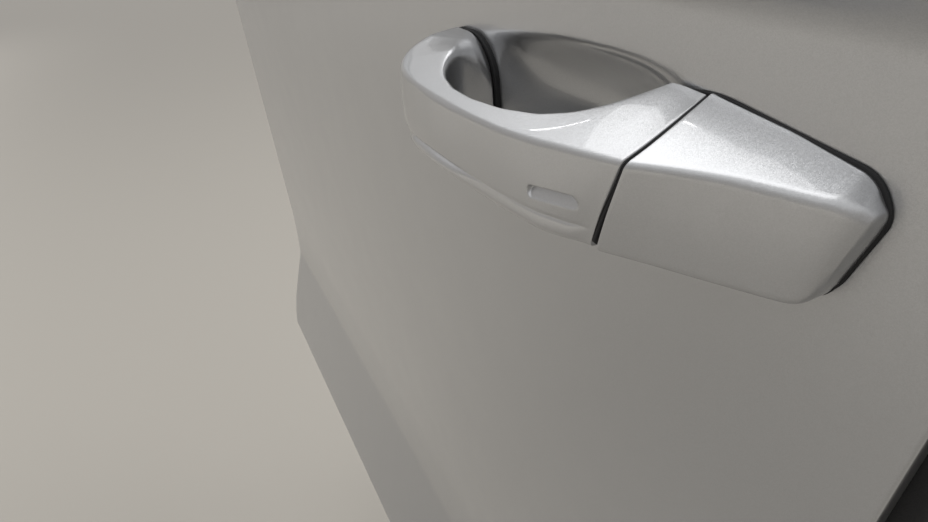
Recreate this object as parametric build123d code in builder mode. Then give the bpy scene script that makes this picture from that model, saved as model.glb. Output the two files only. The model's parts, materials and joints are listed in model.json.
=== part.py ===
"""Left front door of a compact sport utility car.

A pressed outer skin and inner panel carry a framed window, a cabin trim, a folding mirror, two hinges
and an outside pull handle, which bows over a cup pressed into the skin. Millimetres. +X runs rearward
along the car, +Y inboard and +Z up. The origin is the middle of the upper hinge's bolting face.
"""

import os
from math import cos, hypot, radians, sin, sqrt, tan

from build123d import *

os.makedirs("parts", exist_ok=True)

# Overall sizes
DOOR_LENGTH = 1088.0
BELT_Z = 243.0
BOTTOM_Z = -520.0
FRAME_TOP_Z = 668.0
FRONT_X = 24.0
FRONT_LEAN = radians(2.7)
REAR_LEAN = radians(9.0)
REAR_LEAN_LOW = radians(5.0)
REAR_LEAN_FRAME = radians(3.4)
REAR_BEND_Z = -100.0

# Sheet and gaps
SKIN_SHEET = 1.2
INNER_SHEET = 1.6
SEAT_GAP = 0.3
HEM_DEPTH = 6.0
FLANGE_WIDTH = 18.0
FAR = 500.0

# Hinges
HINGE_X = 45.0
HINGE_Y = -14.0
HINGE_SPACING = 400.0
HINGE_OPENING = 65.0
PIN_RADIUS = 4.0
PIN_CLEARANCE = 0.05
KNUCKLE_RADIUS = 9.0
KNUCKLE_HALF = 12.0
KNUCKLE_GAP = 0.4
LEAF_THICKNESS = 6.0
LEAF_HALF_HEIGHT = 31.0
LEAF_LENGTH = 60.0
LEAF_BOLT_SPACING = 36.0
LEAF_BOLT_RADIUS = 4.5
FRONT_WALL_X = HINGE_X + 27.0

# Door check
CHECK_X = 28.0
CHECK_Y = 12.0
CHECK_Z = -190.0
CHECK_REACH = 16.0
CHECK_BOLT_SPACING = 32.0
CHECK_ARM_WIDTH = 14.0
CHECK_ARM_THICKNESS = 6.0
CHECK_ARM_LENGTH = 98.0
CHECK_SLOT_WIDTH = 30.0
CHECK_SLOT_HEIGHT = CHECK_ARM_THICKNESS + 1.0

# Glass and window frame: one barrel-shaped surface, an arc in cross-section
GLASS_RADIUS = 1650.0
GLASS_BELT_Y = -20.0
GLASS_LEAN = radians(12.3)
GLASS_THICKNESS = 3.2
GLASS_BOTTOM_Z = BELT_Z - 58.0
FRAME_OUTBOARD = 9.0
FRAME_INBOARD = 24.0
FRAME_FACE = 24.0
FRAME_REAR_FACE = 66.0
RUN_WIDTH = 12.0
SAIL_X = 235.0
COVER_THICKNESS = 2.7
MOULDING_HEIGHT = 14.0

# Inner structure, as the inboard face's profile
INBOARD_Y = 45.0
INBOARD_BEND_Z = 60.0

# Cabin trim
TRIM_FRONT_X = 98.0
TRIM_TOP_Z = BELT_Z - 103.5
TRIM_BOTTOM_Z = -470.0
TRIM_Y = 62.0
TRIM_LOW_Y = 74.0
ARMREST_TOP_Z = BELT_Z - 211.0
TRIM_STEP_Z = ARMREST_TOP_Z - 98.0
ARMREST_Y = 126.0

# Outside handle, in its own frame: rearward of the seam, outward of the skin, above the seam's top
HANDLE_X = FRONT_X + DOOR_LENGTH - 87.0
HANDLE_Z = BELT_Z - 108.0
HANDLE_SKIN_Y = -66.2
GRIP_LENGTH = 180.0
GRIP_PROUD = 38.5
SEAM_PROUD = 28.0
CAP_LENGTH = 57.0
HANDLE_HEIGHT = 47.0
TOP_SLOPE = 0.518
SEAM_GAP = 1.2
SEAM_SLANT = 12.0
CUP_DEPTH = 24.0
GASKET_THICKNESS = 0.8
CAP_BOSS = (26.0, -26.0, 14.0)
BOSS_CLEARANCE = 0.5
GRIP_LIFT = 2.2
GRIP_PIVOT = (2.0 - GRIP_LENGTH, -22.0)
GRIP_SWING = 10.0
GRIP_PIN_RADIUS = 3.0

# Mirror
MIRROR_X = 168.0
MIRROR_Y = -78.0
MIRROR_LOW_Z = BELT_Z + 33.0
MIRROR_HEIGHT = 140.0
MIRROR_WIDTH = 185.0
MIRROR_DEPTH = 92.0
MIRROR_FOLD = 60.0

# Inside release lever
LEVER_X = 348.0
LEVER_Z = BELT_Z - 151.0
LEVER_LENGTH = 74.0
LEVER_HEIGHT = 28.0
LEVER_SWING = 35.0


def moved_in(rows, depths, closed=False):
    """Rows of (a, b, radius) with each run moved to its left, which is the inside of an anticlockwise loop."""
    runs = len(rows) if closed else len(rows) - 1
    depths = [depths] * runs if isinstance(depths, (int, float)) else depths
    lines = []
    for i, depth in enumerate(depths):
        (a0, b0, _), (a1, b1, _) = rows[i], rows[(i + 1) % len(rows)]
        length = hypot(a1 - a0, b1 - b0)
        u, v = (a1 - a0) / length, (b1 - b0) / length
        lines.append((a0 - v * depth, b0 + u * depth, u, v, depth, length))
    moved = []
    for i, (_, _, radius) in enumerate(rows):
        if not closed and i == 0:
            moved.append((lines[0][0], lines[0][1], 0))
            continue
        if not closed and i == runs:
            a, b, u, v, _, length = lines[-1]
            moved.append((a + u * length, b + v * length, 0))
            continue
        a0, b0, u0, v0, depth0, _ = lines[i - 1]
        a1, b1, u1, v1, depth1, _ = lines[i % runs]
        turn = u0 * v1 - v0 * u1
        t = ((a1 - a0) * v1 - (b1 - b0) * u1) / turn
        shrink = (depth0 + depth1) / 2 * (1 if turn > 0 else -1)
        moved.append((a0 + u0 * t, b0 + v0 * t, max(radius - shrink, 0.5) if radius else 0))
    return moved


def outline_face(rows, plane):
    """The flat face inside a closed table of corners."""
    with BuildSketch(plane, mode=Mode.PRIVATE) as sketch:
        with BuildLine():
            FilletPolyline(*[(a, b) for a, b, _ in rows], radius=[r for *_, r in rows], close=True)
        make_face()
    return sketch.sketch


def across(rows, low_y, high_y, at=(0.0, 0.0)):
    """A solid with a side outline of (x, z, radius) about a point, from low_y to high_y."""
    plane = Plane(origin=(at[0], high_y, at[1]), x_dir=(1, 0, 0), z_dir=(0, -1, 0))
    return extrude(outline_face(rows, plane), amount=high_y - low_y, mode=Mode.PRIVATE)


def lengthwise(rows, low_x, high_x, at=(0.0, 0.0)):
    """A solid with a cross-section of (y, z, radius) about a point, from low_x to high_x."""
    plane = Plane(origin=(low_x, *at), x_dir=(0, 1, 0), z_dir=(1, 0, 0))
    return extrude(outline_face(rows, plane), amount=high_x - low_x, mode=Mode.PRIVATE)


def upright(rows, low_z, high_z, at=(0.0, 0.0)):
    """A solid with a plan of (x, y, radius) about a point, from low_z to high_z."""
    plane = Plane(origin=(*at, low_z), x_dir=(1, 0, 0), z_dir=(0, 0, 1))
    return extrude(outline_face(rows, plane), amount=high_z - low_z, mode=Mode.PRIVATE)


def block(low, high):
    """A box between two corners."""
    return Solid.make_box(*[b - a for a, b in zip(low, high)], Plane(origin=low))


def inboard_of(rows, overrun=60.0):
    """All that lies inboard of a profile of (y, z, radius) that runs down, with its ends run on."""
    (y0, z0, _), (y1, z1, _) = rows[:2]
    (y2, z2, _), (y3, z3, _) = rows[-2:]
    first, last = overrun / hypot(y1 - y0, z1 - z0), overrun / hypot(y3 - y2, z3 - z2)
    top = (y0 + (y0 - y1) * first, z0 + (z0 - z1) * first, 0)
    foot = (y3 + (y3 - y2) * last, z3 + (z3 - z2) * last, 0)
    section = [top, *rows[1:-1], foot, (FAR, foot[1], 0), (FAR, top[1], 0)]
    return lengthwise(section, -FAR, 2 * DOOR_LENGTH)


def glazing_band(outboard, inboard, low_z):
    """The glass's arc, thickened outboard and inboard, above low_z."""
    centre_y = GLASS_BELT_Y + GLASS_RADIUS * cos(GLASS_LEAN)
    centre_z = BELT_Z - GLASS_RADIUS * sin(GLASS_LEAN)
    with BuildPart(mode=Mode.PRIVATE) as made:
        with BuildSketch(Plane.YZ.offset(-FAR)):
            with Locations((centre_y, centre_z)):
                Circle(GLASS_RADIUS + outboard)
                Circle(GLASS_RADIUS - inboard, mode=Mode.SUBTRACT)
            with Locations((0, (low_z + FRAME_TOP_Z + 20) / 2)):
                Rectangle(FAR, FRAME_TOP_Z + 20 - low_z, mode=Mode.INTERSECT)
        extrude(amount=2 * DOOR_LENGTH)
    return made.part


def glazing_y(z, outboard=0.0):
    """Y of the glass's middle surface at a height, or of one moved outboard."""
    centre_y = GLASS_BELT_Y + GLASS_RADIUS * cos(GLASS_LEAN)
    centre_z = BELT_Z - GLASS_RADIUS * sin(GLASS_LEAN)
    return centre_y - sqrt((GLASS_RADIUS + outboard) ** 2 - (z - centre_z) ** 2)


def save(piece, name):
    """Labels a sub-part and writes its file."""
    piece.label = name
    export_step(piece, f"parts/{name}.step")


# Side outlines, anticlockwise seen from outside: x, z, corner radius
REAR_X = FRONT_X + DOOR_LENGTH
REAR_BEND_X = REAR_X - (120.0 - REAR_BEND_Z) * tan(REAR_LEAN)
REAR_BELT_X = REAR_X + (BELT_Z - 120.0) * tan(REAR_LEAN)
FRONT_BELT_X = FRONT_X - BELT_Z * tan(FRONT_LEAN)
BOTTOM_FRONT = (FRONT_X - BOTTOM_Z * tan(FRONT_LEAN), BOTTOM_Z, 75)
BOTTOM_REAR = (REAR_BEND_X - (REAR_BEND_Z - BOTTOM_Z) * tan(REAR_LEAN_LOW), BOTTOM_Z, 60)
LOWER_OUTLINE = [
    BOTTOM_FRONT,
    BOTTOM_REAR,
    (REAR_BEND_X, REAR_BEND_Z, 400),
    (REAR_BELT_X, BELT_Z, 0),
    (FRONT_BELT_X, BELT_Z, 0),
]
FRAME_TOP_X = REAR_BELT_X + (FRAME_TOP_Z - BELT_Z) * tan(REAR_LEAN_FRAME)
WINDOW_HEIGHT = FRAME_TOP_Z - BELT_Z
DOOR_OUTLINE = [
    BOTTOM_FRONT,
    BOTTOM_REAR,
    (REAR_BEND_X, REAR_BEND_Z, 400),
    (REAR_BELT_X, BELT_Z, 150),
    (FRAME_TOP_X, FRAME_TOP_Z, 45),
    (FRAME_TOP_X - 300, FRAME_TOP_Z - 6, 1500),
    (FRAME_TOP_X - 570, FRAME_TOP_Z - 0.095 * WINDOW_HEIGHT, 350),
    (FRAME_TOP_X - 840, FRAME_TOP_Z - 0.47 * WINDOW_HEIGHT, 1500),
    (FRONT_BELT_X, BELT_Z, 25),
]
DOOR_SIDES = ["bottom", "rear", "rear", "rear_frame", "top", "top", "top", "top", "front"]


def inset_outline(**depths):
    """The whole door's outline with its named sides moved inward."""
    return moved_in(DOOR_OUTLINE, [depths.get(side, 0.0) for side in DOOR_SIDES], closed=True)


# Outer skin's cross-section, from the belt down: y, z, bend radius
SKIN_SECTION = [
    (-46.0, BELT_Z, 0),
    (-78.0, BELT_Z - 62, 5),
    (-66.0, BELT_Z - 83, 22),
    (-66.4, 60.0, 2500),
    (-55.0, BOTTOM_Z + 190, 700),
    (-58.0, BOTTOM_Z + 135, 60),
    (-96.0, BOTTOM_Z + 15, 10),
    (-90.0, BOTTOM_Z - 2, 0),
]
INBOARD_TOP_Y = glazing_y(BELT_Z, -FRAME_INBOARD)
INBOARD_SECTION = [
    (INBOARD_TOP_Y, BELT_Z, 0),
    (INBOARD_Y, INBOARD_BEND_Z, 120),
    (INBOARD_Y, BOTTOM_Z - 2, 0),
]
under_skin = inboard_of(moved_in(SKIN_SECTION, SKIN_SHEET))
lower_body = across(LOWER_OUTLINE, -FAR, FAR)


# The handle's own frame: a rearward of the seam's top, p outward of the skin, b above the seam's top
def handle_plan(rows, low_b, high_b):
    """An upright solid from corners of (a, p, radius), between two heights in the handle's frame."""
    table = [(a, -p, r) for a, p, r in rows][::-1]
    return upright(table, HANDLE_Z + low_b, HANDLE_Z + high_b, at=(HANDLE_X, HANDLE_SKIN_Y))


def handle_side(rows, low_p, high_p):
    """A solid through the skin from corners of (a, b, radius), from low_p to high_p."""
    return across(rows, HANDLE_SKIN_Y - high_p, HANDLE_SKIN_Y - low_p, at=(HANDLE_X, HANDLE_Z))


def handle_block(low, high):
    """A box between two corners in the handle's frame."""
    (a0, p0, b0), (a1, p1, b1) = low, high
    return block(
        (HANDLE_X + a0, HANDLE_SKIN_Y - p1, HANDLE_Z + b0), (HANDLE_X + a1, HANDLE_SKIN_Y - p0, HANDLE_Z + b1)
    )


CUP_FRONT = 28.0 - GRIP_LENGTH
CUP_REAR = -18.0
CUP_MIDDLE = (CUP_FRONT + CUP_REAR) / 2
CUP_SLOPE = (40.0, 20.0)
CUP_RIM = [
    (CUP_FRONT, -5, 24),
    (CUP_MIDDLE, 7, 220),
    (CUP_REAR, 0, 22),
    (CUP_REAR, -56, 26),
    (CUP_MIDDLE, -64, 220),
    (CUP_FRONT, -54, 24),
]
CUP_FLOOR = [
    (CUP_FRONT + CUP_SLOPE[0], -16, 12),
    (CUP_MIDDLE, -12, 90),
    (CUP_REAR - CUP_SLOPE[1], -14, 10),
    (CUP_REAR - CUP_SLOPE[1], -43, 10),
    (CUP_MIDDLE, -47, 90),
    (CUP_FRONT + CUP_SLOPE[0], -42, 12),
]


def cup_solid(grow, low_p, high_p):
    """The cup's bowl, grown all round, from high_p at its rim down to low_p at its floor."""
    with BuildPart(mode=Mode.PRIVATE) as made:
        for table, p in ((CUP_RIM, high_p), (CUP_FLOOR, low_p)):
            origin = (HANDLE_X, HANDLE_SKIN_Y - p, HANDLE_Z)
            rows = moved_in(table[::-1], -grow, closed=True)
            add(outline_face(rows, Plane(origin=origin, x_dir=(1, 0, 0), z_dir=(0, -1, 0))))
        loft(ruled=True)
    return made.part


FRONT_ARM = (20.0 - GRIP_LENGTH, 33.0 - GRIP_LENGTH)
REAR_ARM = (-20.0, -11.0)
ARM_LOW, ARM_HIGH = -32.0, -14.0
ARM_CLEARANCE = 3.0
cup_bowl = cup_solid(0.0, -CUP_DEPTH, 0.5)
cup_back = cup_solid(SKIN_SHEET, -CUP_DEPTH - SKIN_SHEET, -0.2)
arm_holes = []
for (front, rear), ahead in ((FRONT_ARM, 5.0), (REAR_ARM, 2.0)):
    low_a, high_a = front - ARM_CLEARANCE - ahead, rear + ARM_CLEARANCE
    low_b, high_b = ARM_LOW - ARM_CLEARANCE, ARM_HIGH + ARM_CLEARANCE
    hole_rows = [(low_a, low_b, 3), (high_a, low_b, 3), (high_a, high_b, 3), (low_a, high_b, 3)]
    arm_holes.append(handle_side(hole_rows, -CUP_DEPTH - 10, 20))

boss_a, boss_b, boss_side = CAP_BOSS
boss_half, hole_half = boss_side / 2, boss_side / 2 + BOSS_CLEARANCE
cap_boss = handle_block(
    (boss_a - boss_half, -CUP_DEPTH + 3, boss_b - boss_half), (boss_a + boss_half, 3, boss_b + boss_half)
)
cap_boss_hole = handle_block(
    (boss_a - hole_half, -10, boss_b - hole_half), (boss_a + hole_half, 10, boss_b + hole_half)
)

# Outer skin: sheet, hemmed edge, and the cup behind the handle
hem_ring = across(moved_in(LOWER_OUTLINE, [SKIN_SHEET] * 3 + [0, SKIN_SHEET], closed=True), -FAR, FAR)
with BuildPart() as outer_skin:
    add(inboard_of(SKIN_SECTION))
    add(inboard_of(moved_in(SKIN_SECTION, HEM_DEPTH)), mode=Mode.SUBTRACT)
    add(lower_body, mode=Mode.INTERSECT)
    add(under_skin & hem_ring, mode=Mode.SUBTRACT)
    add(cup_back)
    add(cup_bowl, mode=Mode.SUBTRACT)
    for hole in arm_holes:
        add(hole, mode=Mode.SUBTRACT)
    add(cap_boss_hole, mode=Mode.SUBTRACT)
save(outer_skin.part, "outer_skin")

# Inner panel: a tub whose flange lies on the skin, with solid corners under the window frame
TUB_DEPTHS = [20.0, FLANGE_WIDTH, FLANGE_WIDTH, 0.0, 48.0]
tub_rows = [
    (FRONT_WALL_X if x < 200 else x, z, r)
    for x, z, r in moved_in(LOWER_OUTLINE, TUB_DEPTHS, closed=True)
]
tub_inside_rows = moved_in(tub_rows, [INNER_SHEET] * 3 + [-1.0, INNER_SHEET], closed=True)
flange_rows = moved_in(LOWER_OUTLINE, [SKIN_SHEET + SEAT_GAP] * 3 + [0, SKIN_SHEET + SEAT_GAP], closed=True)
behind_skin = inboard_of(moved_in(SKIN_SECTION, SKIN_SHEET + SEAT_GAP))
past_flange = inboard_of(moved_in(SKIN_SECTION, SKIN_SHEET + SEAT_GAP + INNER_SHEET))
inboard_space = inboard_of(INBOARD_SECTION)
inboard_sheet = inboard_of(moved_in(INBOARD_SECTION, -INNER_SHEET))
tub = across(tub_rows, -FAR, FAR)
tub_inside = across(tub_inside_rows, -FAR, FAR)
LATCH_LOW_Z, LATCH_HIGH_Z = HANDLE_Z - 71, HANDLE_Z - 23
LATCH_SLOT_LOW, LATCH_SLOT_HIGH = HANDLE_Z - 55, HANDLE_Z - 39
LATCH_OUTBOARD_Y = -12.0
latch_notch = block((REAR_X - 70, LATCH_OUTBOARD_Y, LATCH_LOW_Z), (REAR_X + 30, FAR, LATCH_HIGH_Z))
CORNER_BLOCK_X = (FRONT_WALL_X + 60, REAR_BELT_X - 72)
CORNER_BLOCK_Z = BELT_Z - 40
with BuildPart() as inner_panel:
    add(tub)
    add(past_flange, mode=Mode.INTERSECT)
    add(tub_inside - inboard_sheet, mode=Mode.SUBTRACT)
    add((across(flange_rows, -FAR, FAR) & behind_skin) - past_flange - tub_inside)
    for low_x, high_x in ((0, CORNER_BLOCK_X[0]), (CORNER_BLOCK_X[1], 2 * DOOR_LENGTH)):
        add(tub & block((low_x, -30, CORNER_BLOCK_Z), (high_x, FAR, BELT_Z)))
    add(inboard_space, mode=Mode.SUBTRACT)
    add(latch_notch, mode=Mode.SUBTRACT)
    with Locations((FRONT_WALL_X, CHECK_Y, CHECK_Z)):
        Box(20, CHECK_SLOT_WIDTH, CHECK_SLOT_HEIGHT, mode=Mode.SUBTRACT)
save(inner_panel.part, "inner_panel")

# Window frame, run channel and glass, all slices of the same barrel surface
above_belt = block((-FAR, -FAR, BELT_Z + SEAT_GAP), (2 * DOOR_LENGTH, FAR, FAR + FRAME_TOP_Z))


def window_prism(top, rear, front_x, low_z):
    """Side prism of a window opening: its depth in from the frame's edges, its front edge and its foot."""
    rows = inset_outline(top=top, rear=rear, rear_frame=rear)
    return across(rows, -FAR, FAR) & block((front_x, -FAR, low_z), (2 * DOOR_LENGTH, FAR, 2 * FAR))


run_hole = window_prism(FRAME_FACE, FRAME_REAR_FACE, SAIL_X, 0.0)
with BuildPart() as window_frame:
    add(glazing_band(FRAME_OUTBOARD, FRAME_INBOARD, BELT_Z - 20))
    add(across(DOOR_OUTLINE, -FAR, FAR), mode=Mode.INTERSECT)
    add(above_belt, mode=Mode.INTERSECT)
    add(run_hole, mode=Mode.SUBTRACT)
save(window_frame.part, "window_frame")

run_outer = window_prism(FRAME_FACE + 0.2, FRAME_REAR_FACE + 0.2, SAIL_X + 0.2, BELT_Z + 1.0)
run_inner = window_prism(FRAME_FACE + RUN_WIDTH, FRAME_REAR_FACE + RUN_WIDTH, SAIL_X + RUN_WIDTH, 0.0)
GLASS_EDGE = 6.0
glass_slot = window_prism(
    FRAME_FACE + GLASS_EDGE - 0.6, FRAME_REAR_FACE + GLASS_EDGE - 0.6, SAIL_X + GLASS_EDGE - 0.6, 0.0
)
HALF_GLASS = GLASS_THICKNESS / 2
with BuildPart() as glass_run:
    add(glazing_band(6.0, 9.0, BELT_Z - 20))
    add(run_outer, mode=Mode.INTERSECT)
    add(run_inner, mode=Mode.SUBTRACT)
    add(glazing_band(HALF_GLASS + 0.4, HALF_GLASS + 0.4, 0.0) & glass_slot, mode=Mode.SUBTRACT)
save(glass_run.part, "glass_run")

with BuildPart() as window_glass:
    add(glazing_band(HALF_GLASS, HALF_GLASS, GLASS_BOTTOM_Z))
    add(
        window_prism(FRAME_FACE + GLASS_EDGE, FRAME_REAR_FACE + GLASS_EDGE, SAIL_X + GLASS_EDGE, 0.0),
        mode=Mode.INTERSECT,
    )
save(window_glass.part, "window_glass")

# Black covers on the frame's outer face: pillar cover at the rear, sail panel at the front
cover_band = glazing_band(FRAME_OUTBOARD + SEAT_GAP + COVER_THICKNESS, -FRAME_OUTBOARD - SEAT_GAP, BELT_Z)
cover_edge = across(inset_outline(top=3.0, rear_frame=3.0, rear=3.0), -FAR, FAR)
cover_floor = BELT_Z + MOULDING_HEIGHT + 2.5
rear_cover_cut = window_prism(FRAME_FACE, FRAME_REAR_FACE + 8.0, SAIL_X, 0.0)
REAR_COVER_FRONT = REAR_BELT_X - 100
with BuildPart() as pillar_cover:
    add(cover_band)
    add(cover_edge, mode=Mode.INTERSECT)
    add(block((REAR_COVER_FRONT, -FAR, cover_floor), (2 * DOOR_LENGTH, FAR, 2 * FAR)), mode=Mode.INTERSECT)
    add(rear_cover_cut, mode=Mode.SUBTRACT)
    add(
        block((0, -FAR, FRAME_TOP_Z - FRAME_FACE - 30), (REAR_BELT_X - FRAME_REAR_FACE - 6, FAR, 2 * FAR)),
        mode=Mode.SUBTRACT,
    )
save(pillar_cover.part, "pillar_cover")

with BuildPart() as mirror_sail:
    add(cover_band)
    add(cover_edge, mode=Mode.INTERSECT)
    add(block((0, -FAR, cover_floor), (SAIL_X - 1, FAR, 2 * FAR)), mode=Mode.INTERSECT)
save(mirror_sail.part, "mirror_sail")

# Belt mouldings each side of the glass
SKIN_TOP_Y = SKIN_SECTION[0][0]
FRAME_FACE_Y = glazing_y(BELT_Z, FRAME_OUTBOARD)
MOULDING_Z = BELT_Z + SEAT_GAP
WIPER_X = (SAIL_X + RUN_WIDTH + 1, REAR_BELT_X - FRAME_REAR_FACE - RUN_WIDTH - 2)
moulding_rows = [
    (SKIN_TOP_Y - 2, MOULDING_Z, 0),
    (FRAME_FACE_Y - 1.2, MOULDING_Z, 0),
    (FRAME_FACE_Y - 1.2, MOULDING_Z + MOULDING_HEIGHT, 1),
    (SKIN_TOP_Y + 6, MOULDING_Z + MOULDING_HEIGHT, 4),
    (SKIN_TOP_Y - 2, MOULDING_Z + 5, 4),
]
moulding_clip = [
    (SKIN_TOP_Y + 2, MOULDING_Z - 14, 0),
    (SKIN_TOP_Y + 6, MOULDING_Z - 14, 0),
    (SKIN_TOP_Y + 6, MOULDING_Z + 1, 0),
    (SKIN_TOP_Y + 2, MOULDING_Z + 1, 0),
]
glass_outer_y = glazing_y(BELT_Z, HALF_GLASS + 0.4)
wiper_rows = [
    (FRAME_FACE_Y - 2, MOULDING_Z + 4, 0),
    (glass_outer_y, MOULDING_Z + 4, 0),
    (glass_outer_y + 1.0, MOULDING_Z + 12, 0),
    (FRAME_FACE_Y - 2, MOULDING_Z + 10, 0),
]
moulding_length = across(
    [
        (FRONT_BELT_X + 6, BELT_Z - 30, 0),
        (REAR_BELT_X - 6, BELT_Z - 30, 0),
        (REAR_BELT_X - 3, BELT_Z + 30, 0),
        (FRONT_BELT_X + 34, BELT_Z + 30, 0),
        (FRONT_BELT_X + 6, BELT_Z + 6, 0),
    ],
    -FAR,
    FAR,
)
with BuildPart() as outer_belt_moulding:
    add(lengthwise(moulding_rows, 0, 2 * DOOR_LENGTH))
    add(moulding_length, mode=Mode.INTERSECT)
    add(lengthwise(moulding_clip, FRONT_WALL_X + 8, REAR_BELT_X - FLANGE_WIDTH - 10))
    add(lengthwise(wiper_rows, *WIPER_X))
save(outer_belt_moulding.part, "outer_belt_moulding")

glass_inner_y = glazing_y(BELT_Z + 6, -HALF_GLASS - 0.4)
with BuildPart() as inner_belt_seal:
    add(
        lengthwise(
            [
                (glass_inner_y, BELT_Z - 8, 0),
                (INBOARD_TOP_Y - INNER_SHEET - 2, BELT_Z - 8, 0),
                (INBOARD_TOP_Y - INNER_SHEET - 2, BELT_Z + SEAT_GAP, 0),
                (INBOARD_TOP_Y + 2, BELT_Z + SEAT_GAP, 0),
                (INBOARD_TOP_Y + 2, BELT_Z + 9, 3),
                (glass_inner_y + 4, BELT_Z + 9, 1),
            ],
            *WIPER_X,
        )
    )
save(inner_belt_seal.part, "inner_belt_seal")

# Rubber seal round the inboard face: along the tub, then on up the frame
SEAL_THICKNESS = 9.0
SEAL_WIDTH = 12.0
SEAL_EDGE = 2.0
SEAL_REAR_INSET = 22.0
lower_seal_band = inboard_of(moved_in(INBOARD_SECTION, SEAT_GAP)) - inboard_of(
    moved_in(INBOARD_SECTION, SEAT_GAP + SEAL_THICKNESS)
)
seal_insets = [
    (SEAL_EDGE + d, SEAL_REAR_INSET + d, SEAL_REAR_INSET + d, 0.0, SEAL_EDGE + d) for d in (0.0, SEAL_WIDTH)
]
tub_seal_rows = [moved_in(tub_rows, insets, closed=True) for insets in seal_insets]
lower_seal_ring = across(tub_seal_rows[0], -FAR, FAR) - across(tub_seal_rows[1], -FAR, FAR)
upper_seal_band = glazing_band(-FRAME_INBOARD - SEAT_GAP, FRAME_INBOARD + SEAT_GAP + SEAL_THICKNESS, BELT_Z + 1)
upper_rings = [
    inset_outline(top=d, rear_frame=FLANGE_WIDTH + SEAL_REAR_INSET + d, rear=FLANGE_WIDTH + SEAL_REAR_INSET + d)
    for d in (SEAL_EDGE + 3, SEAL_EDGE + SEAL_WIDTH + 3)
]
upper_seal_ring = (across(upper_rings[0], -FAR, FAR) - across(upper_rings[1], -FAR, FAR)) & block(
    (FRONT_WALL_X + 16, -FAR, BELT_Z + 1), (2 * DOOR_LENGTH, FAR, 2 * FAR)
)
with BuildPart() as door_seal:
    add(lower_seal_band & lower_seal_ring)
    add(upper_seal_band & upper_seal_ring)
save(door_seal.part, "door_seal")

# Hinges: one knuckle on the pillar's leaf between two on the door's leaf, with a pin through all three
PIN_TOP = LEAF_HALF_HEIGHT - 1.0
pin_bore = PIN_RADIUS + PIN_CLEARANCE
for name, z in (("upper", 0.0), ("lower", -HINGE_SPACING)):
    with BuildPart() as pillar_leaf:
        with BuildSketch(Plane.XY.offset(z - LEAF_HALF_HEIGHT)):
            with Locations((0, -LEAF_THICKNESS / 2)):
                Rectangle(LEAF_LENGTH, LEAF_THICKNESS)
        extrude(amount=2 * LEAF_HALF_HEIGHT)
        fillet(pillar_leaf.edges().filter_by(Axis.Y), 6)
        with BuildSketch(Plane.XY.offset(z - KNUCKLE_HALF)):
            with Locations((HINGE_X, HINGE_Y)):
                Circle(KNUCKLE_RADIUS)
            with Locations((HINGE_X - 16, -LEAF_THICKNESS)):
                Rectangle(20, 2 * LEAF_THICKNESS)
        extrude(amount=2 * KNUCKLE_HALF)
        with Locations((HINGE_X, HINGE_Y, z)):
            Cylinder(pin_bore, 4 * KNUCKLE_HALF, mode=Mode.SUBTRACT)
        with Locations(Plane.XZ):
            with Locations(*[(x, z) for x in (-LEAF_BOLT_SPACING / 2, LEAF_BOLT_SPACING / 2)]):
                Cylinder(LEAF_BOLT_RADIUS, 4 * LEAF_THICKNESS, mode=Mode.SUBTRACT)
    save(pillar_leaf.part, f"{name}_hinge_pillar_leaf")

    plate_x = FRONT_WALL_X - SEAT_GAP - LEAF_THICKNESS
    with BuildPart() as door_leaf:
        with BuildSketch(Plane.XY.offset(z - LEAF_HALF_HEIGHT)):
            with Locations((plate_x + LEAF_THICKNESS / 2, HINGE_Y - 6)):
                Rectangle(LEAF_THICKNESS, 56)
        extrude(amount=2 * LEAF_HALF_HEIGHT)
        fillet(door_leaf.edges().filter_by(Axis.X), 6)
        near, past = KNUCKLE_HALF + KNUCKLE_GAP, LEAF_HALF_HEIGHT - 1
        for low, high in ((-past, -near), (near, past)):
            with BuildSketch(Plane.XY.offset(z + low)):
                with Locations((HINGE_X, HINGE_Y)):
                    Circle(KNUCKLE_RADIUS)
                with Locations(((HINGE_X + plate_x) / 2 + 1, HINGE_Y - 4)):
                    Rectangle(plate_x - HINGE_X + 2, 10)
            extrude(amount=high - low)
        with Locations((HINGE_X, HINGE_Y, z)):
            Cylinder(pin_bore, 4 * LEAF_HALF_HEIGHT, mode=Mode.SUBTRACT)
    save(door_leaf.part, f"{name}_hinge_door_leaf")

with BuildPart() as hinge_pins:
    for z in (0.0, -HINGE_SPACING):
        with Locations((HINGE_X, HINGE_Y, z)):
            Cylinder(PIN_RADIUS, 2 * PIN_TOP)
        with Locations((HINGE_X, HINGE_Y, z + PIN_TOP + 1.6), (HINGE_X, HINGE_Y, z - PIN_TOP - 1.6)):
            Cylinder(PIN_RADIUS + 2, 3)
save(hinge_pins.part, "hinge_pins")

# Latch in the rear wall, with a slot that the striker enters from inboard
latch_rows = [
    (REAR_X - 64, LATCH_LOW_Z + SEAT_GAP, 0),
    (REAR_X + 40, LATCH_LOW_Z + SEAT_GAP, 0),
    (REAR_X + 40, LATCH_HIGH_Z - SEAT_GAP, 0),
    (REAR_X - 64, LATCH_HIGH_Z - SEAT_GAP, 0),
]
with BuildPart() as latch:
    add(across(latch_rows, LATCH_OUTBOARD_Y + SEAT_GAP, INBOARD_Y - 1))
    add(across(moved_in(tub_rows, [0, -1.5, -1.5, 0, 0], closed=True), -FAR, FAR), mode=Mode.INTERSECT)
    add(
        block(
            (REAR_X - 46, LATCH_OUTBOARD_Y + 14, LATCH_SLOT_LOW),
            (REAR_X + 40, FAR, LATCH_SLOT_HIGH),
        ),
        mode=Mode.SUBTRACT,
    )
    add(inboard_of(moved_in(INBOARD_SECTION, -1.0)), mode=Mode.SUBTRACT)
save(latch.part, "latch")
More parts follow.
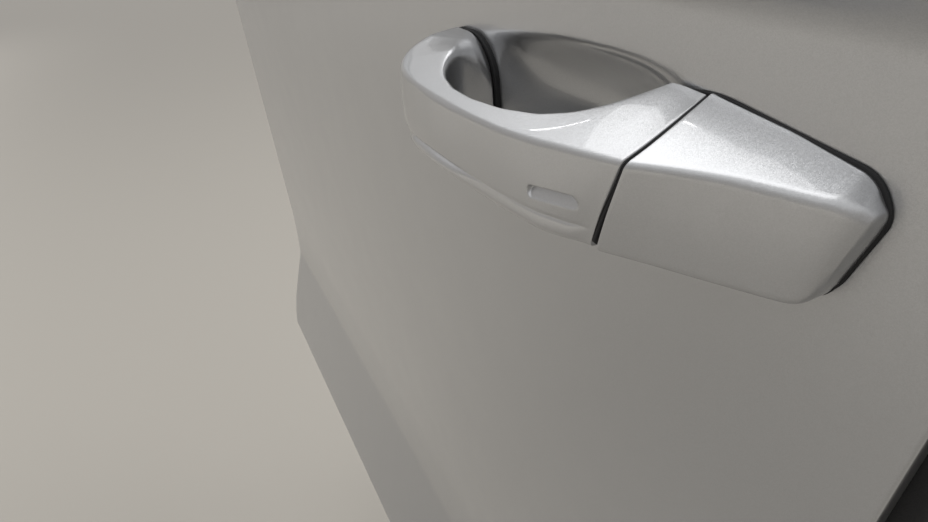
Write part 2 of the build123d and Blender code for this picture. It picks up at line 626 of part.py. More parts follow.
with BuildPart() as latch_claw:
    add(
        block(
            (REAR_X - 45, LATCH_OUTBOARD_Y + 18, LATCH_SLOT_LOW + 0.3),
            (REAR_X - 32, LATCH_OUTBOARD_Y + 40, LATCH_SLOT_HIGH - 0.3),
        )
    )
    fillet(latch_claw.edges().filter_by(Axis.Z), 4)
save(latch_claw.part, "latch_claw")

# Door check: a bracket on the pillar, an arm that turns on its pin, and the box that the arm slides through
with BuildPart() as check_bracket:
    with Locations((CHECK_X - CHECK_REACH + 1.5, CHECK_Y, CHECK_Z)):
        Box(3, 44, 48)
    for side in (-1, 1):
        with Locations((CHECK_X - CHECK_REACH / 2 + 4, CHECK_Y, CHECK_Z + side * 6)):
            Box(CHECK_REACH + 8, 18, 3)
    fillet(check_bracket.edges().filter_by(Axis.Z).group_by(Axis.X)[-1], 7)
    with Locations((CHECK_X, CHECK_Y, CHECK_Z)):
        Cylinder(PIN_RADIUS, 19)
    with Locations(Plane.YZ.offset(CHECK_X - CHECK_REACH)):
        with Locations(*[(CHECK_Y, CHECK_Z + dz) for dz in (-CHECK_BOLT_SPACING / 2, CHECK_BOLT_SPACING / 2)]):
            Cylinder(LEAF_BOLT_RADIUS, 8, mode=Mode.SUBTRACT)
save(check_bracket.part, "check_bracket")
with BuildPart() as check_arm:
    with BuildSketch(Plane.XY.offset(CHECK_Z - CHECK_ARM_THICKNESS / 2)):
        with Locations((CHECK_X + CHECK_ARM_LENGTH / 2, CHECK_Y)):
            Rectangle(CHECK_ARM_LENGTH, CHECK_ARM_WIDTH)
        with Locations((CHECK_X, CHECK_Y)):
            Circle(9)
            Circle(pin_bore, mode=Mode.SUBTRACT)
    extrude(amount=CHECK_ARM_THICKNESS)
    with Locations((CHECK_X + CHECK_ARM_LENGTH, CHECK_Y, CHECK_Z)):
        Box(8, CHECK_ARM_WIDTH + 6, 18)
save(check_arm.part, "check_arm")
with BuildPart() as check_box:
    with Locations((FRONT_WALL_X - SEAT_GAP - 2, CHECK_Y, CHECK_Z)):
        Box(4, 44, 46)
        Box(20, CHECK_SLOT_WIDTH, CHECK_SLOT_HEIGHT, mode=Mode.SUBTRACT)
save(check_box.part, "check_box")
with BuildPart() as wiring_plug:
    with Locations(Plane.YZ.offset(FRONT_WALL_X - SEAT_GAP)):
        with Locations((0, -265)):
            Cylinder(24, 5, align=(Align.CENTER, Align.CENTER, Align.MAX))
            Cylinder(18, 20, align=(Align.CENTER, Align.CENTER, Align.MAX))
    fillet(wiring_plug.edges().group_by(Axis.X)[0], 3)
save(wiring_plug.part, "wiring_plug")

# Cabin trim
TRIM_REAR_GAP = FLANGE_WIDTH + SEAL_REAR_INSET + SEAL_WIDTH + 6
trim_outline = [
    (TRIM_FRONT_X, TRIM_BOTTOM_Z, 50),
    (BOTTOM_REAR[0] - TRIM_REAR_GAP, TRIM_BOTTOM_Z, 50),
    (REAR_BEND_X - TRIM_REAR_GAP, REAR_BEND_Z, 400),
    (REAR_BELT_X - TRIM_REAR_GAP, BELT_Z, 0),
    (REAR_BELT_X - TRIM_REAR_GAP, BELT_Z + 20, 0),
    (TRIM_FRONT_X, BELT_Z + 20, 0),
]
trim_prism = across(trim_outline, -FAR, FAR)
TRIM_SEAT_Y = INBOARD_Y + 0.6
trim_rows = [
    (TRIM_SEAT_Y, TRIM_BOTTOM_Z, 0),
    (TRIM_LOW_Y - 14, TRIM_BOTTOM_Z, 0),
    (TRIM_LOW_Y, TRIM_BOTTOM_Z + 22, 20),
    (TRIM_LOW_Y, TRIM_STEP_Z - 14, 6),
    (TRIM_Y, TRIM_STEP_Z, 6),
    (TRIM_Y, TRIM_TOP_Z, 3),
    (TRIM_SEAT_Y, TRIM_TOP_Z, 0),
]
RECESS_DEPTH = 11.0
recess_rows = [
    (LEVER_X - 6, LEVER_Z - LEVER_HEIGHT / 2 - 8, 12),
    (LEVER_X + LEVER_LENGTH + 12, LEVER_Z - LEVER_HEIGHT / 2 - 8, 12),
    (LEVER_X + LEVER_LENGTH + 12, LEVER_Z + LEVER_HEIGHT / 2 + 8, 12),
    (LEVER_X - 6, LEVER_Z + LEVER_HEIGHT / 2 + 8, 12),
]
SPEAKER_X, SPEAKER_Z, SPEAKER_RADIUS = 222.0, TRIM_STEP_Z - 99.0, 84.0
with BuildPart() as trim_panel:
    add(lengthwise(trim_rows, 0, 2 * DOOR_LENGTH))
    add(trim_prism, mode=Mode.INTERSECT)
    add(across(recess_rows, TRIM_Y - RECESS_DEPTH, FAR), mode=Mode.SUBTRACT)
save(trim_panel.part, "trim_panel")

TRIM_TOP_GAP = 0.5
upper_trim_rows = [
    (INBOARD_Y - 14, TRIM_TOP_Z + TRIM_TOP_GAP, 0),
    (TRIM_Y + 8, TRIM_TOP_Z + TRIM_TOP_GAP, 6),
    (TRIM_Y + 8, BELT_Z - 40, 40),
    (TRIM_Y - 16, BELT_Z + 12, 16),
    (INBOARD_TOP_Y + 3.5, BELT_Z + 12, 3),
    (INBOARD_TOP_Y + 3.5, BELT_Z - 4, 0),
]
sail_foot_y = glazing_y(BELT_Z + 14, -FRAME_INBOARD) + 12
sail_foot = block((FRONT_WALL_X, -FAR, BELT_Z - 1), (WIPER_X[0] - 1, sail_foot_y, FAR))
with BuildPart() as trim_upper:
    add(lengthwise(upper_trim_rows, 0, 2 * DOOR_LENGTH))
    add(trim_prism, mode=Mode.INTERSECT)
    add(inboard_of(moved_in(INBOARD_SECTION, 0.5)), mode=Mode.INTERSECT)
    add(sail_foot, mode=Mode.SUBTRACT)
save(trim_upper.part, "trim_upper")

ARMREST_X = (300.0, 985.0)
armrest_rows = [
    (TRIM_Y + SEAT_GAP, TRIM_STEP_Z + 8, 0),
    (TRIM_Y + 28, TRIM_STEP_Z + 8, 14),
    (ARMREST_Y - 4, ARMREST_TOP_Z - 36, 12),
    (ARMREST_Y, ARMREST_TOP_Z, 9),
    (TRIM_Y + SEAT_GAP, ARMREST_TOP_Z, 0),
]
armrest_plan = [
    (ARMREST_X[0], TRIM_Y, 0),
    (ARMREST_X[1], TRIM_Y, 0),
    (ARMREST_X[1] - 14, ARMREST_Y, 34),
    (ARMREST_X[0] + 150, ARMREST_Y, 160),
    (ARMREST_X[0], TRIM_Y + 12, 8),
]
PULL_X = (640.0, 760.0)
PULL_Y = (TRIM_Y + 16, TRIM_Y + 50)
PULL_DEPTH = 42.0
pull_plan = [
    (PULL_X[0], PULL_Y[0], 12),
    (PULL_X[1], PULL_Y[0], 12),
    (PULL_X[1], PULL_Y[1], 12),
    (PULL_X[0], PULL_Y[1], 12),
]
with BuildPart() as armrest:
    add(lengthwise(armrest_rows, *ARMREST_X))
    add(upright(armrest_plan, TRIM_STEP_Z - 10, ARMREST_TOP_Z + 10), mode=Mode.INTERSECT)
    add(upright(pull_plan, ARMREST_TOP_Z - PULL_DEPTH, ARMREST_TOP_Z + 10), mode=Mode.SUBTRACT)
save(armrest.part, "armrest")

SWITCH_X = (455.0, 620.0)
SWITCH_Y = (TRIM_Y + 8, ARMREST_Y - 14)
PANEL_TOP_Z = ARMREST_TOP_Z + SEAT_GAP + 3.0
with BuildPart() as switch_panel:
    add(
        upright(
            [
                (SWITCH_X[0], SWITCH_Y[0], 6),
                (SWITCH_X[1], SWITCH_Y[0], 6),
                (SWITCH_X[1], SWITCH_Y[1], 10),
                (SWITCH_X[0], SWITCH_Y[1] - 14, 10),
            ],
            ARMREST_TOP_Z + SEAT_GAP,
            PANEL_TOP_Z,
        )
    )
save(switch_panel.part, "switch_panel")
with BuildPart() as window_switches:
    for row in (0, 1):
        for column in (0, 1):
            with Locations((SWITCH_X[1] - 28 - 38 * row, SWITCH_Y[0] + 12 + 17 * column, PANEL_TOP_Z + SEAT_GAP)):
                Box(26, 13, 7, align=(Align.CENTER, Align.CENTER, Align.MIN))
    fillet(window_switches.edges().group_by(Axis.Z)[-1], 2)
save(window_switches.part, "window_switches")

GRAB_X = (470.0, 640.0)
GRAB_Z = BELT_Z - 143.0
GRAB_RISE = 44.0
with BuildPart() as grab_handle:
    with BuildLine(Plane.XY.offset(GRAB_Z)) as grab_path:
        FilletPolyline(
            (GRAB_X[0], TRIM_Y + SEAT_GAP),
            (GRAB_X[0] + 12, TRIM_Y + GRAB_RISE),
            (GRAB_X[1] - 12, TRIM_Y + GRAB_RISE),
            (GRAB_X[1], TRIM_Y + SEAT_GAP),
            radius=18,
        )
    with BuildSketch(Plane.XZ.offset(-TRIM_Y - SEAT_GAP)):
        with Locations((GRAB_X[0], GRAB_Z)):
            RectangleRounded(15, 24, 6)
    sweep(path=grab_path.line)
    add(block((0, TRIM_Y + SEAT_GAP, 0), (2 * DOOR_LENGTH, FAR, FAR)), mode=Mode.INTERSECT)
save(grab_handle.part, "grab_handle")

POCKET_X = (150.0, 900.0)
POCKET_Z = (TRIM_BOTTOM_Z + 26, TRIM_STEP_Z - 196.0)
POCKET_Y = (TRIM_LOW_Y + SEAT_GAP, TRIM_LOW_Y + 46)
POCKET_WALL = 3.0
pocket_outline = [
    (POCKET_X[0], POCKET_Z[0], 30),
    (POCKET_X[1], POCKET_Z[0], 30),
    (POCKET_X[1], POCKET_Z[1] - 14, 10),
    (POCKET_X[0] + 200, POCKET_Z[1], 200),
    (POCKET_X[0], POCKET_Z[1], 10),
]
with BuildPart() as map_pocket:
    add(across(pocket_outline, *POCKET_Y))
    add(
        across(
            moved_in(pocket_outline, [POCKET_WALL, POCKET_WALL, -40, -40, POCKET_WALL], closed=True),
            POCKET_Y[0] + POCKET_WALL,
            POCKET_Y[1] - POCKET_WALL,
        ),
        mode=Mode.SUBTRACT,
    )
save(map_pocket.part, "map_pocket")

with BuildPart() as speaker_grille:
    with Locations(Plane.XZ.offset(-TRIM_LOW_Y - SEAT_GAP)):
        with Locations((SPEAKER_X, SPEAKER_Z)):
            Cylinder(SPEAKER_RADIUS, 6, align=(Align.CENTER, Align.CENTER, Align.MAX))
    fillet(speaker_grille.edges().group_by(Axis.Y)[-1], 4)
save(speaker_grille.part, "speaker_grille")

# Inside release: a bezel round the recess and a lever that turns on an upright pin
LEVER_PIN = (LEVER_X + 4, TRIM_Y - 3)
LEVER_PIN_RADIUS = 2.5
with BuildPart() as release_bezel:
    add(across(moved_in(recess_rows, -4.0, closed=True), TRIM_Y + SEAT_GAP, TRIM_Y + SEAT_GAP + 2.5))
    add(across(moved_in(recess_rows, 0.5, closed=True), 0, FAR), mode=Mode.SUBTRACT)
    for side in (-1, 1):
        add(
            block(
                (LEVER_PIN[0] - 5, TRIM_Y - 8, LEVER_Z + side * (LEVER_HEIGHT / 2 + 3) - 2),
                (LEVER_PIN[0] + 5, TRIM_Y + SEAT_GAP + 2.5, LEVER_Z + side * (LEVER_HEIGHT / 2 + 3) + 2),
            )
        )
        add(
            block(
                (LEVER_PIN[0] - 5, TRIM_Y + SEAT_GAP, LEVER_Z + side * (LEVER_HEIGHT / 2 + 6) - 3),
                (LEVER_PIN[0] + 5, TRIM_Y + SEAT_GAP + 2.5, LEVER_Z + side * (LEVER_HEIGHT / 2 + 6) + 3),
            )
        )
    with Locations((*LEVER_PIN, LEVER_Z)):
        Cylinder(LEVER_PIN_RADIUS, LEVER_HEIGHT + 8)
save(release_bezel.part, "release_bezel")
with BuildPart() as release_lever:
    add(
        upright(
            [
                (LEVER_X - 1, TRIM_Y - 6, 2),
                (LEVER_X + 10, TRIM_Y - 6, 4),
                (LEVER_X + 22, TRIM_Y + 1, 20),
                (LEVER_X + LEVER_LENGTH, TRIM_Y + 3, 2),
                (LEVER_X + LEVER_LENGTH, TRIM_Y + 8, 2),
                (LEVER_X + 16, TRIM_Y + 6, 20),
                (LEVER_X - 1, TRIM_Y + 1, 3),
            ],
            LEVER_Z - LEVER_HEIGHT / 2,
            LEVER_Z + LEVER_HEIGHT / 2,
        )
    )
    with Locations((*LEVER_PIN, LEVER_Z)):
        Cylinder(LEVER_PIN_RADIUS + PIN_CLEARANCE, 2 * LEVER_HEIGHT, mode=Mode.SUBTRACT)
save(release_lever.part, "release_lever")

# Outside handle: grip, rear cap and two gaskets. The grip's foot, nose, bow and rear end follow one plan
seam_shift = SEAM_SLANT / HANDLE_HEIGHT
seam_rows = [
    (-FAR, 60, 0),
    (-FAR, -100, 0),
    (-SEAM_GAP / 2 - 100 * seam_shift, -100, 0),
    (-SEAM_GAP / 2 + 60 * seam_shift, 60, 0),
]
ahead_of_seam = handle_side(seam_rows, -FAR, FAR)
seam_rear_rows = [
    (SEAM_GAP / 2 - 100 * seam_shift, -100, 0),
    (FAR, -100, 0),
    (FAR, 60, 0),
    (SEAM_GAP / 2 + 60 * seam_shift, 60, 0),
]
behind_seam = handle_side(seam_rear_rows, -FAR, FAR)
FOOT_LENGTH = 40.0
NOSE = -GRIP_LENGTH
grip_plan = [
    (6, GRIP_LIFT, 0),
    (6, SEAM_PROUD - 1, 0),
    (-78, GRIP_PROUD, 300),
    (NOSE + 16, GRIP_PROUD - 2, 26),
    (NOSE, GRIP_PROUD - 20, 16),
    (NOSE, GRIP_LIFT, 4),
    (NOSE + FOOT_LENGTH, GRIP_LIFT, 3),
    (NOSE + FOOT_LENGTH + 1, GRIP_PROUD - 22, 14),
    (NOSE + FOOT_LENGTH + 22, GRIP_PROUD - 12, 40),
    (-62, GRIP_PROUD - 12, 60),
    (-28, 8, 40),
    (-16, GRIP_LIFT, 0),
]
grip_side = [
    (10, -HANDLE_HEIGHT + 1, 0),
    (10, 2, 0),
    (NOSE - 1, -3, 20),
    (NOSE - 1, -HANDLE_HEIGHT - 8, 24),
]
under_top = [(-60, -60 * TOP_SLOPE, 0), (-60, -70, 0), (40, -70, 0), (40, 40 * TOP_SLOPE, 0)]
top_cut = lengthwise(under_top, 0, 3 * DOOR_LENGTH, at=(HANDLE_SKIN_Y, HANDLE_Z))
ARM_REACH = 44.0
pivot_x, pivot_y = HANDLE_X + GRIP_PIVOT[0], HANDLE_SKIN_Y - GRIP_PIVOT[1]
with BuildPart() as handle_grip:
    add(handle_plan(grip_plan, -90, 30))
    add(handle_side(grip_side, -FAR, FAR), mode=Mode.INTERSECT)
    add(top_cut, mode=Mode.INTERSECT)
    add(ahead_of_seam, mode=Mode.INTERSECT)
    for (front, rear), reach in ((FRONT_ARM, 5 - GRIP_PIVOT[1]), (REAR_ARM, ARM_REACH)):
        add(handle_block((front, -reach, ARM_LOW), (rear, GRIP_LIFT + 4, ARM_HIGH)))
    with BuildSketch(Plane.XY.offset(HANDLE_Z + ARM_LOW)):
        with Locations((pivot_x, pivot_y)):
            Circle(6)
        with Locations((pivot_x + (FRONT_ARM[0] - GRIP_PIVOT[0] + 2) / 2, pivot_y)):
            Rectangle(FRONT_ARM[0] - GRIP_PIVOT[0] + 2, 10)
    extrude(amount=ARM_HIGH - ARM_LOW)
    with Locations((pivot_x, pivot_y, HANDLE_Z - 26)):
        Cylinder(GRIP_PIN_RADIUS + PIN_CLEARANCE, 60, mode=Mode.SUBTRACT)
save(handle_grip.part, "handle_grip")

CAP_REAR_DROP = 5.2
CAP_REAR_PROUD = 7.0
cap_sections = (
    (-16, SEAM_PROUD + 4.6, 1.4, 16.6, -HANDLE_HEIGHT + 1),
    (CAP_LENGTH + 4, CAP_REAR_PROUD - 1.4, -CAP_REAR_DROP, 5.0, -HANDLE_HEIGHT + 2),
)
cap_side = [
    (-20, -HANDLE_HEIGHT, 0),
    (CAP_LENGTH - 14, -HANDLE_HEIGHT + 2, 7),
    (CAP_LENGTH + 1, -CAP_REAR_DROP - 4, 8),
    (-20, 3, 0),
]
with BuildPart() as handle_cap:
    for a, proud, top, ridge_drop, low in cap_sections:
        section = [(GRIP_LIFT, top), (GRIP_LIFT, low + 2), (proud, low), (proud, top - ridge_drop)]
        origin = (HANDLE_X + a, HANDLE_SKIN_Y, HANDLE_Z)
        rows = [(-p, b, 0) for p, b in section]
        add(outline_face(rows, Plane(origin=origin, x_dir=(0, 1, 0), z_dir=(1, 0, 0))))
    loft(ruled=True)
    add(handle_side(cap_side, -FAR, FAR), mode=Mode.INTERSECT)
    add(behind_seam, mode=Mode.INTERSECT)
    add(cap_boss)
save(handle_cap.part, "handle_cap")

front_gasket_rows = [
    (NOSE + 2, -HANDLE_HEIGHT - 1, 14),
    (NOSE + FOOT_LENGTH + 2, -HANDLE_HEIGHT - 3, 6),
    (NOSE + FOOT_LENGTH + 2, -5, 6),
    (NOSE + 2, -7, 12),
]
rear_gasket_rows = [
    (-20, -HANDLE_HEIGHT - 1.5, 4),
    (CAP_LENGTH - 13, -HANDLE_HEIGHT + 0.4, 9),
    (CAP_LENGTH + 3.6, -CAP_REAR_DROP - 2.4, 9),
    (0, 2.4, 0),
    (-20, 2.4, 4),
]
GASKET_P = (SEAT_GAP, SEAT_GAP + GASKET_THICKNESS)
with BuildPart() as handle_front_gasket:
    add(handle_side(front_gasket_rows, *GASKET_P))
    add(arm_holes[0], mode=Mode.SUBTRACT)
save(handle_front_gasket.part, "handle_front_gasket")
with BuildPart() as handle_rear_gasket:
    add(handle_side(rear_gasket_rows, *GASKET_P))
    add(arm_holes[1], mode=Mode.SUBTRACT)
    add(cap_boss_hole, mode=Mode.SUBTRACT)
save(handle_rear_gasket.part, "handle_rear_gasket")

# Carrier behind the skin: the grip's pivot at the front, a guide round its rear arm and the cap's seat
CARRIER_P = (-CUP_DEPTH - 16, -CUP_DEPTH - 8)
BEHIND_SKIN_P = -SKIN_SHEET - SEAT_GAP
pivot_a, pivot_p = GRIP_PIVOT
with BuildPart() as handle_carrier:
    add(handle_block((pivot_a - 20, CARRIER_P[0], -10), (CAP_LENGTH - 12, CARRIER_P[1], 0)))
    for low_b, high_b in ((ARM_HIGH + 1, 0), (ARM_LOW - 8, ARM_LOW - 1)):
        add(handle_block((pivot_a - 12, CARRIER_P[0], low_b), (pivot_a + 9, pivot_p + 7, high_b)))
    add(handle_block((pivot_a - 20, CARRIER_P[0], ARM_LOW - 8), (pivot_a + 9, CARRIER_P[1], 0)))
    add(handle_block((pivot_a - 20, CARRIER_P[0], ARM_LOW - 8), (pivot_a - 13, BEHIND_SKIN_P, 0)))
    add(handle_block((boss_a + 9, CARRIER_P[0], -34), (CAP_LENGTH - 12, BEHIND_SKIN_P, -2)))
    with Locations((pivot_x, pivot_y, HANDLE_Z - 23)):
        Cylinder(GRIP_PIN_RADIUS, 30)
save(handle_carrier.part, "handle_carrier")

# Mirror: a foot on the sail, and a housing that folds about the foot's upright boss
FOOT_TOP_Z = MIRROR_LOW_Z - 0.5
foot_root_y = glazing_y(MIRROR_LOW_Z - 16, FRAME_OUTBOARD + SEAT_GAP + COVER_THICKNESS) - SEAT_GAP
with BuildPart() as mirror_foot:
    add(
        upright(
            [
                (MIRROR_X - 34, foot_root_y + 6, 0),
                (MIRROR_X - 19, MIRROR_Y - 10, 18),
                (MIRROR_X + 19, MIRROR_Y - 10, 18),
                (MIRROR_X + 34, foot_root_y + 6, 0),
            ],
            FOOT_TOP_Z - 18,
            FOOT_TOP_Z,
        )
    )
    add(glazing_band(FAR, -FRAME_OUTBOARD - COVER_THICKNESS - 2 * SEAT_GAP, 0.0), mode=Mode.INTERSECT)
    with Locations((MIRROR_X, MIRROR_Y, FOOT_TOP_Z)):
        Cylinder(8, 24)
save(mirror_foot.part, "mirror_foot")
MIRROR_REAR_X = MIRROR_X + 42
housing_rows = [
    (MIRROR_Y + 20, MIRROR_LOW_Z + 6, 16),
    (MIRROR_Y + 8, MIRROR_LOW_Z, 10),
    (MIRROR_Y + 20 - MIRROR_WIDTH + 16, MIRROR_LOW_Z + 8, 34),
    (MIRROR_Y + 20 - MIRROR_WIDTH, MIRROR_LOW_Z + 0.6 * MIRROR_HEIGHT, 90),
    (MIRROR_Y + 20 - MIRROR_WIDTH + 16, MIRROR_LOW_Z + MIRROR_HEIGHT, 38),
    (MIRROR_Y - 16, MIRROR_LOW_Z + MIRROR_HEIGHT - 10, 46),
    (MIRROR_Y + 20, MIRROR_LOW_Z + 0.5 * MIRROR_HEIGHT, 60),
]
housing_plan = [
    (MIRROR_REAR_X - 26, MIRROR_Y + 18, 10),
    (MIRROR_REAR_X, MIRROR_Y + 10, 6),
    (MIRROR_REAR_X, MIRROR_Y + 20 - MIRROR_WIDTH, 8),
    (MIRROR_REAR_X - 0.5 * MIRROR_DEPTH, MIRROR_Y + 18 - MIRROR_WIDTH, 30),
    (MIRROR_REAR_X - MIRROR_DEPTH, MIRROR_Y - 0.62 * MIRROR_WIDTH, 90),
    (MIRROR_REAR_X - MIRROR_DEPTH + 10, MIRROR_Y - 6, 60),
    (MIRROR_X - 16, MIRROR_Y + 17, 20),
]
recess_table = moved_in(housing_rows[::-1], 7.0, closed=True)
with BuildPart() as mirror_housing:
    add(upright(housing_plan[::-1], MIRROR_LOW_Z - 20, MIRROR_LOW_Z + MIRROR_HEIGHT + 20))
    add(lengthwise(housing_rows, 0, 500), mode=Mode.INTERSECT)
    add(lengthwise(recess_table, MIRROR_REAR_X - 16, 500), mode=Mode.SUBTRACT)
    with Locations((MIRROR_X, MIRROR_Y, MIRROR_LOW_Z)):
        Cylinder(8.3, 30, mode=Mode.SUBTRACT)
save(mirror_housing.part, "mirror_housing")
with BuildPart() as mirror_glass:
    add(lengthwise(moved_in(housing_rows[::-1], 9.0, closed=True), MIRROR_REAR_X - 15.5, MIRROR_REAR_X - 5))
save(mirror_glass.part, "mirror_glass")
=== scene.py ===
"""Looks of a compact sport utility car's left front door with a bow pull handle.

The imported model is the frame. The outer skin with its finger cup, the pull handle, the mirror, the armrest
and the small fittings are remade here in finer shapes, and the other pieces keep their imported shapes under
softened edges. Tables are in millimetres, in the door's frame: +X rearward, +Y inboard, +Z up.
"""

import json
import logging
import math
from dataclasses import dataclass, field
from enum import Enum
from typing import Callable, Iterable, Sequence

import bmesh
import bpy
import numpy as np
from mathutils import Matrix, Vector
from mathutils.bvhtree import BVHTree


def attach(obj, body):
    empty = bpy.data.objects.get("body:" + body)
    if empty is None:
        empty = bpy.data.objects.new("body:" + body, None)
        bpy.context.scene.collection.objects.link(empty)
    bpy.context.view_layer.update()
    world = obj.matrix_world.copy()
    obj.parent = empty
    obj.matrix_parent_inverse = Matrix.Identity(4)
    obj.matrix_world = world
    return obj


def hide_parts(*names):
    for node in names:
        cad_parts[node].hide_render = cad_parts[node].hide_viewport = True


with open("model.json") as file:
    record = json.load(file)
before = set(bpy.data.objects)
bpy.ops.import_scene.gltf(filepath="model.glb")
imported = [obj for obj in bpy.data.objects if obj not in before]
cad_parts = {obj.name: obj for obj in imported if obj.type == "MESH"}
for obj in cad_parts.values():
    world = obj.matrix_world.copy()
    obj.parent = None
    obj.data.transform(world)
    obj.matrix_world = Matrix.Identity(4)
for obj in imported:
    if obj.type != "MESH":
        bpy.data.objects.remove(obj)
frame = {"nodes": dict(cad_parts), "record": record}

MM = 0.001
QUARTER = math.pi / 2
SIXTH = math.pi / 3
STRAIGHT = 1e-4
SHARP = math.radians(40)
BELOW_BELT = 242.9

Row = tuple[float, ...]
Rows = tuple[Row, ...]
Faces = list[tuple[int, ...]]
Solid = tuple[np.ndarray, Faces]
Piece = bpy.types.Object
Node = bpy.types.Node
Socket = bpy.types.NodeSocket
log = logging.getLogger("door")


class Body(str, Enum):
    """The moving bodies that new pieces ride on."""

    DOOR = "door"
    GRIP = "grip"
    MIRROR = "mirror"
    LEVER = "lever"


# Curves and meshes


def fillet_line(corners: Sequence[Row], steps: int, closed: bool) -> np.ndarray:
    """Rounds the corners of a flat line.

    Args:
        corners: rows of (first, second, radius).
        steps: points along each rounded corner, less one.
        closed: whether the last corner joins the first.

    Returns:
        The line's points as pairs.
    """
    points: list[np.ndarray] = []
    count = len(corners)
    for i, (u, v, radius) in enumerate(corners):
        here = np.array((u, v), float)
        before = np.array(corners[i - 1][:2], float) - here
        after = np.array(corners[(i + 1) % count][:2], float) - here
        reach_b, reach_a = np.linalg.norm(before), np.linalg.norm(after)
        before, after = before / reach_b, after / reach_a
        turn = math.pi - math.acos(float(np.clip(before @ after, -1, 1)))
        if radius <= 0 or (not closed and i in (0, count - 1)) or turn < STRAIGHT:
            points.append(here)
            continue
        trim = min(radius * math.tan(turn / 2), 0.48 * reach_b, 0.48 * reach_a)
        radius = trim / math.tan(turn / 2)
        middle = here + (before + after) / np.linalg.norm(before + after) * radius / math.cos(turn / 2)
        start, end = here + before * trim - middle, here + after * trim - middle
        for share in (k / steps for k in range(steps + 1)):
            weight = math.sin((1 - share) * turn) * start + math.sin(share * turn) * end
            points.append(middle + weight / math.sin(turn))
    return np.array(points)


def between(at: np.ndarray, along: np.ndarray, table: np.ndarray) -> np.ndarray:
    """Reads each column of a table at places along it."""
    return np.stack([np.interp(at, along, column) for column in table.T], axis=1)


def running(steps: np.ndarray) -> np.ndarray:
    """Running totals of some steps, from nought."""
    return np.concatenate(((0.0,), np.cumsum(steps)))


def spread(line: np.ndarray, count: int, closed: bool = False) -> np.ndarray:
    """Places points evenly along a line.

    Args:
        line: the line's points, one a row.
        count: how many points to place.
        closed: whether the line's end joins its start.

    Returns:
        The new points.
    """
    if closed:
        line = np.vstack((line, line[:1]))
    along = running(np.linalg.norm(np.diff(line, axis=0), axis=1))
    at = np.linspace(0, along[-1], count + 1)[:-1] if closed else np.linspace(0, along[-1], count)
    return between(at, along, line)


def rounded(corners: Sequence[Row], steps: int, count: int, closed: bool = True) -> np.ndarray:
    """Points placed evenly along a flat line whose corners are rounded."""
    return spread(fillet_line(corners, steps, closed), count, closed)


def fair(values: np.ndarray, stiffness: float, held: float = 1e4) -> np.ndarray:
    """Takes the kinks out of columns of numbers, as a batten does on a loft floor.

    Args:
        values: one row for each station.
        stiffness: how strongly bends are ironed out.
        held: how firmly the first and last rows keep their values.

    Returns:
        The smooth rows.
    """
    count = len(values)
    bend = np.diff(np.eye(count), n=2, axis=0)
    hold = np.ones(count)
    hold[[0, -1]] = held
    return np.linalg.solve(np.diag(hold) + stiffness * bend.T @ bend, hold[:, None] * values)


def ring(corners: np.ndarray, radii: Row, arc: int, sides: Sequence[int], closed: bool = True) -> np.ndarray:
    """A rounded section with a fixed number of points, so that neighbouring sections join.

    Args:
        corners: the section's corners as pairs.
        radii: one radius for each corner.
        arc: points along each rounded corner, less one.
        sides: how many parts each side is cut into, from its corner to the next.
        closed: whether the last corner joins the first.

    Returns:
        The section's points as pairs.
    """
    count = len(corners)
    arcs: list[np.ndarray] = []
    for i in range(count):
        if not closed and i in (0, count - 1):
            arcs.append(corners[i][None])
            continue
        trio = [(*corners[i - 1], 0), (*corners[i], max(radii[i], 1e-3)), (*corners[(i + 1) % count], 0)]
        arcs.append(fillet_line(trio, arc, False)[1:-1])
        if len(arcs[-1]) == 1:
            arcs[-1] = np.repeat(arcs[-1], arc + 1, axis=0)
    points: list[np.ndarray] = []
    for i in range(count if closed else count - 1):
        start, end = arcs[i][-1], arcs[(i + 1) % count][0]
        shares = np.linspace(0, 1, sides[i] + 1)[1:-1, None]
        points += [arcs[i], start + (end - start) * shares]
    if not closed:
        points.append(arcs[-1])
    return np.vstack(points)


def ease(value: np.ndarray | float, start: float = 0.0, length: float = 1.0) -> np.ndarray:
    """A soft step from 0, at the start, to 1, a length further on."""
    share = np.clip((value - start) / length, 0, 1)
    return share * share * (3 - 2 * share)


def hump(value: np.ndarray, middle: float, width: float) -> np.ndarray:
    """A soft hump, 1 high at its middle."""
    return np.exp(-(((value - middle) / width) ** 2))


def unit(arrows: np.ndarray) -> np.ndarray:
    """Arrows cut or drawn out to a length of one."""
    return arrows / np.linalg.norm(arrows, axis=-1)[..., None]


def spokes(section: np.ndarray, across: int) -> np.ndarray:
    """Arrows of length one from a section's middle to its points.

    Args:
        section: the section's points.
        across: the number of the axis along which the arrows don't lean.

    Returns:
        One arrow for each point.
    """
    arrows = section - section.mean(axis=0)
    arrows[:, across] = 0
    return unit(arrows)


def circle(count: int) -> np.ndarray:
    """Angles evenly round a circle."""
    return np.arange(count) / count * 2 * math.pi


def lifted(flat: np.ndarray, axis: int, level: float | np.ndarray) -> np.ndarray:
    """Makes points of pairs: the level goes in as the coordinate with this number."""
    return np.insert(flat, axis, level, axis=1)


def inset(line: np.ndarray, inward: float) -> np.ndarray:
    """Moves a closed flat line towards its inside.

    Args:
        line: the line's points as pairs.
        inward: how far, negative to move it outward.

    Returns:
        The moved line.
    """
    along = unit(np.roll(line, -1, axis=0) - np.roll(line, 1, axis=0))
    area = float(np.sum(line[:, 0] * np.roll(line[:, 1], -1) - np.roll(line[:, 0], -1) * line[:, 1]))
    normal = np.stack((-along[:, 1], along[:, 0]), axis=1) * (1 if area > 0 else -1)
    return line + normal * inward


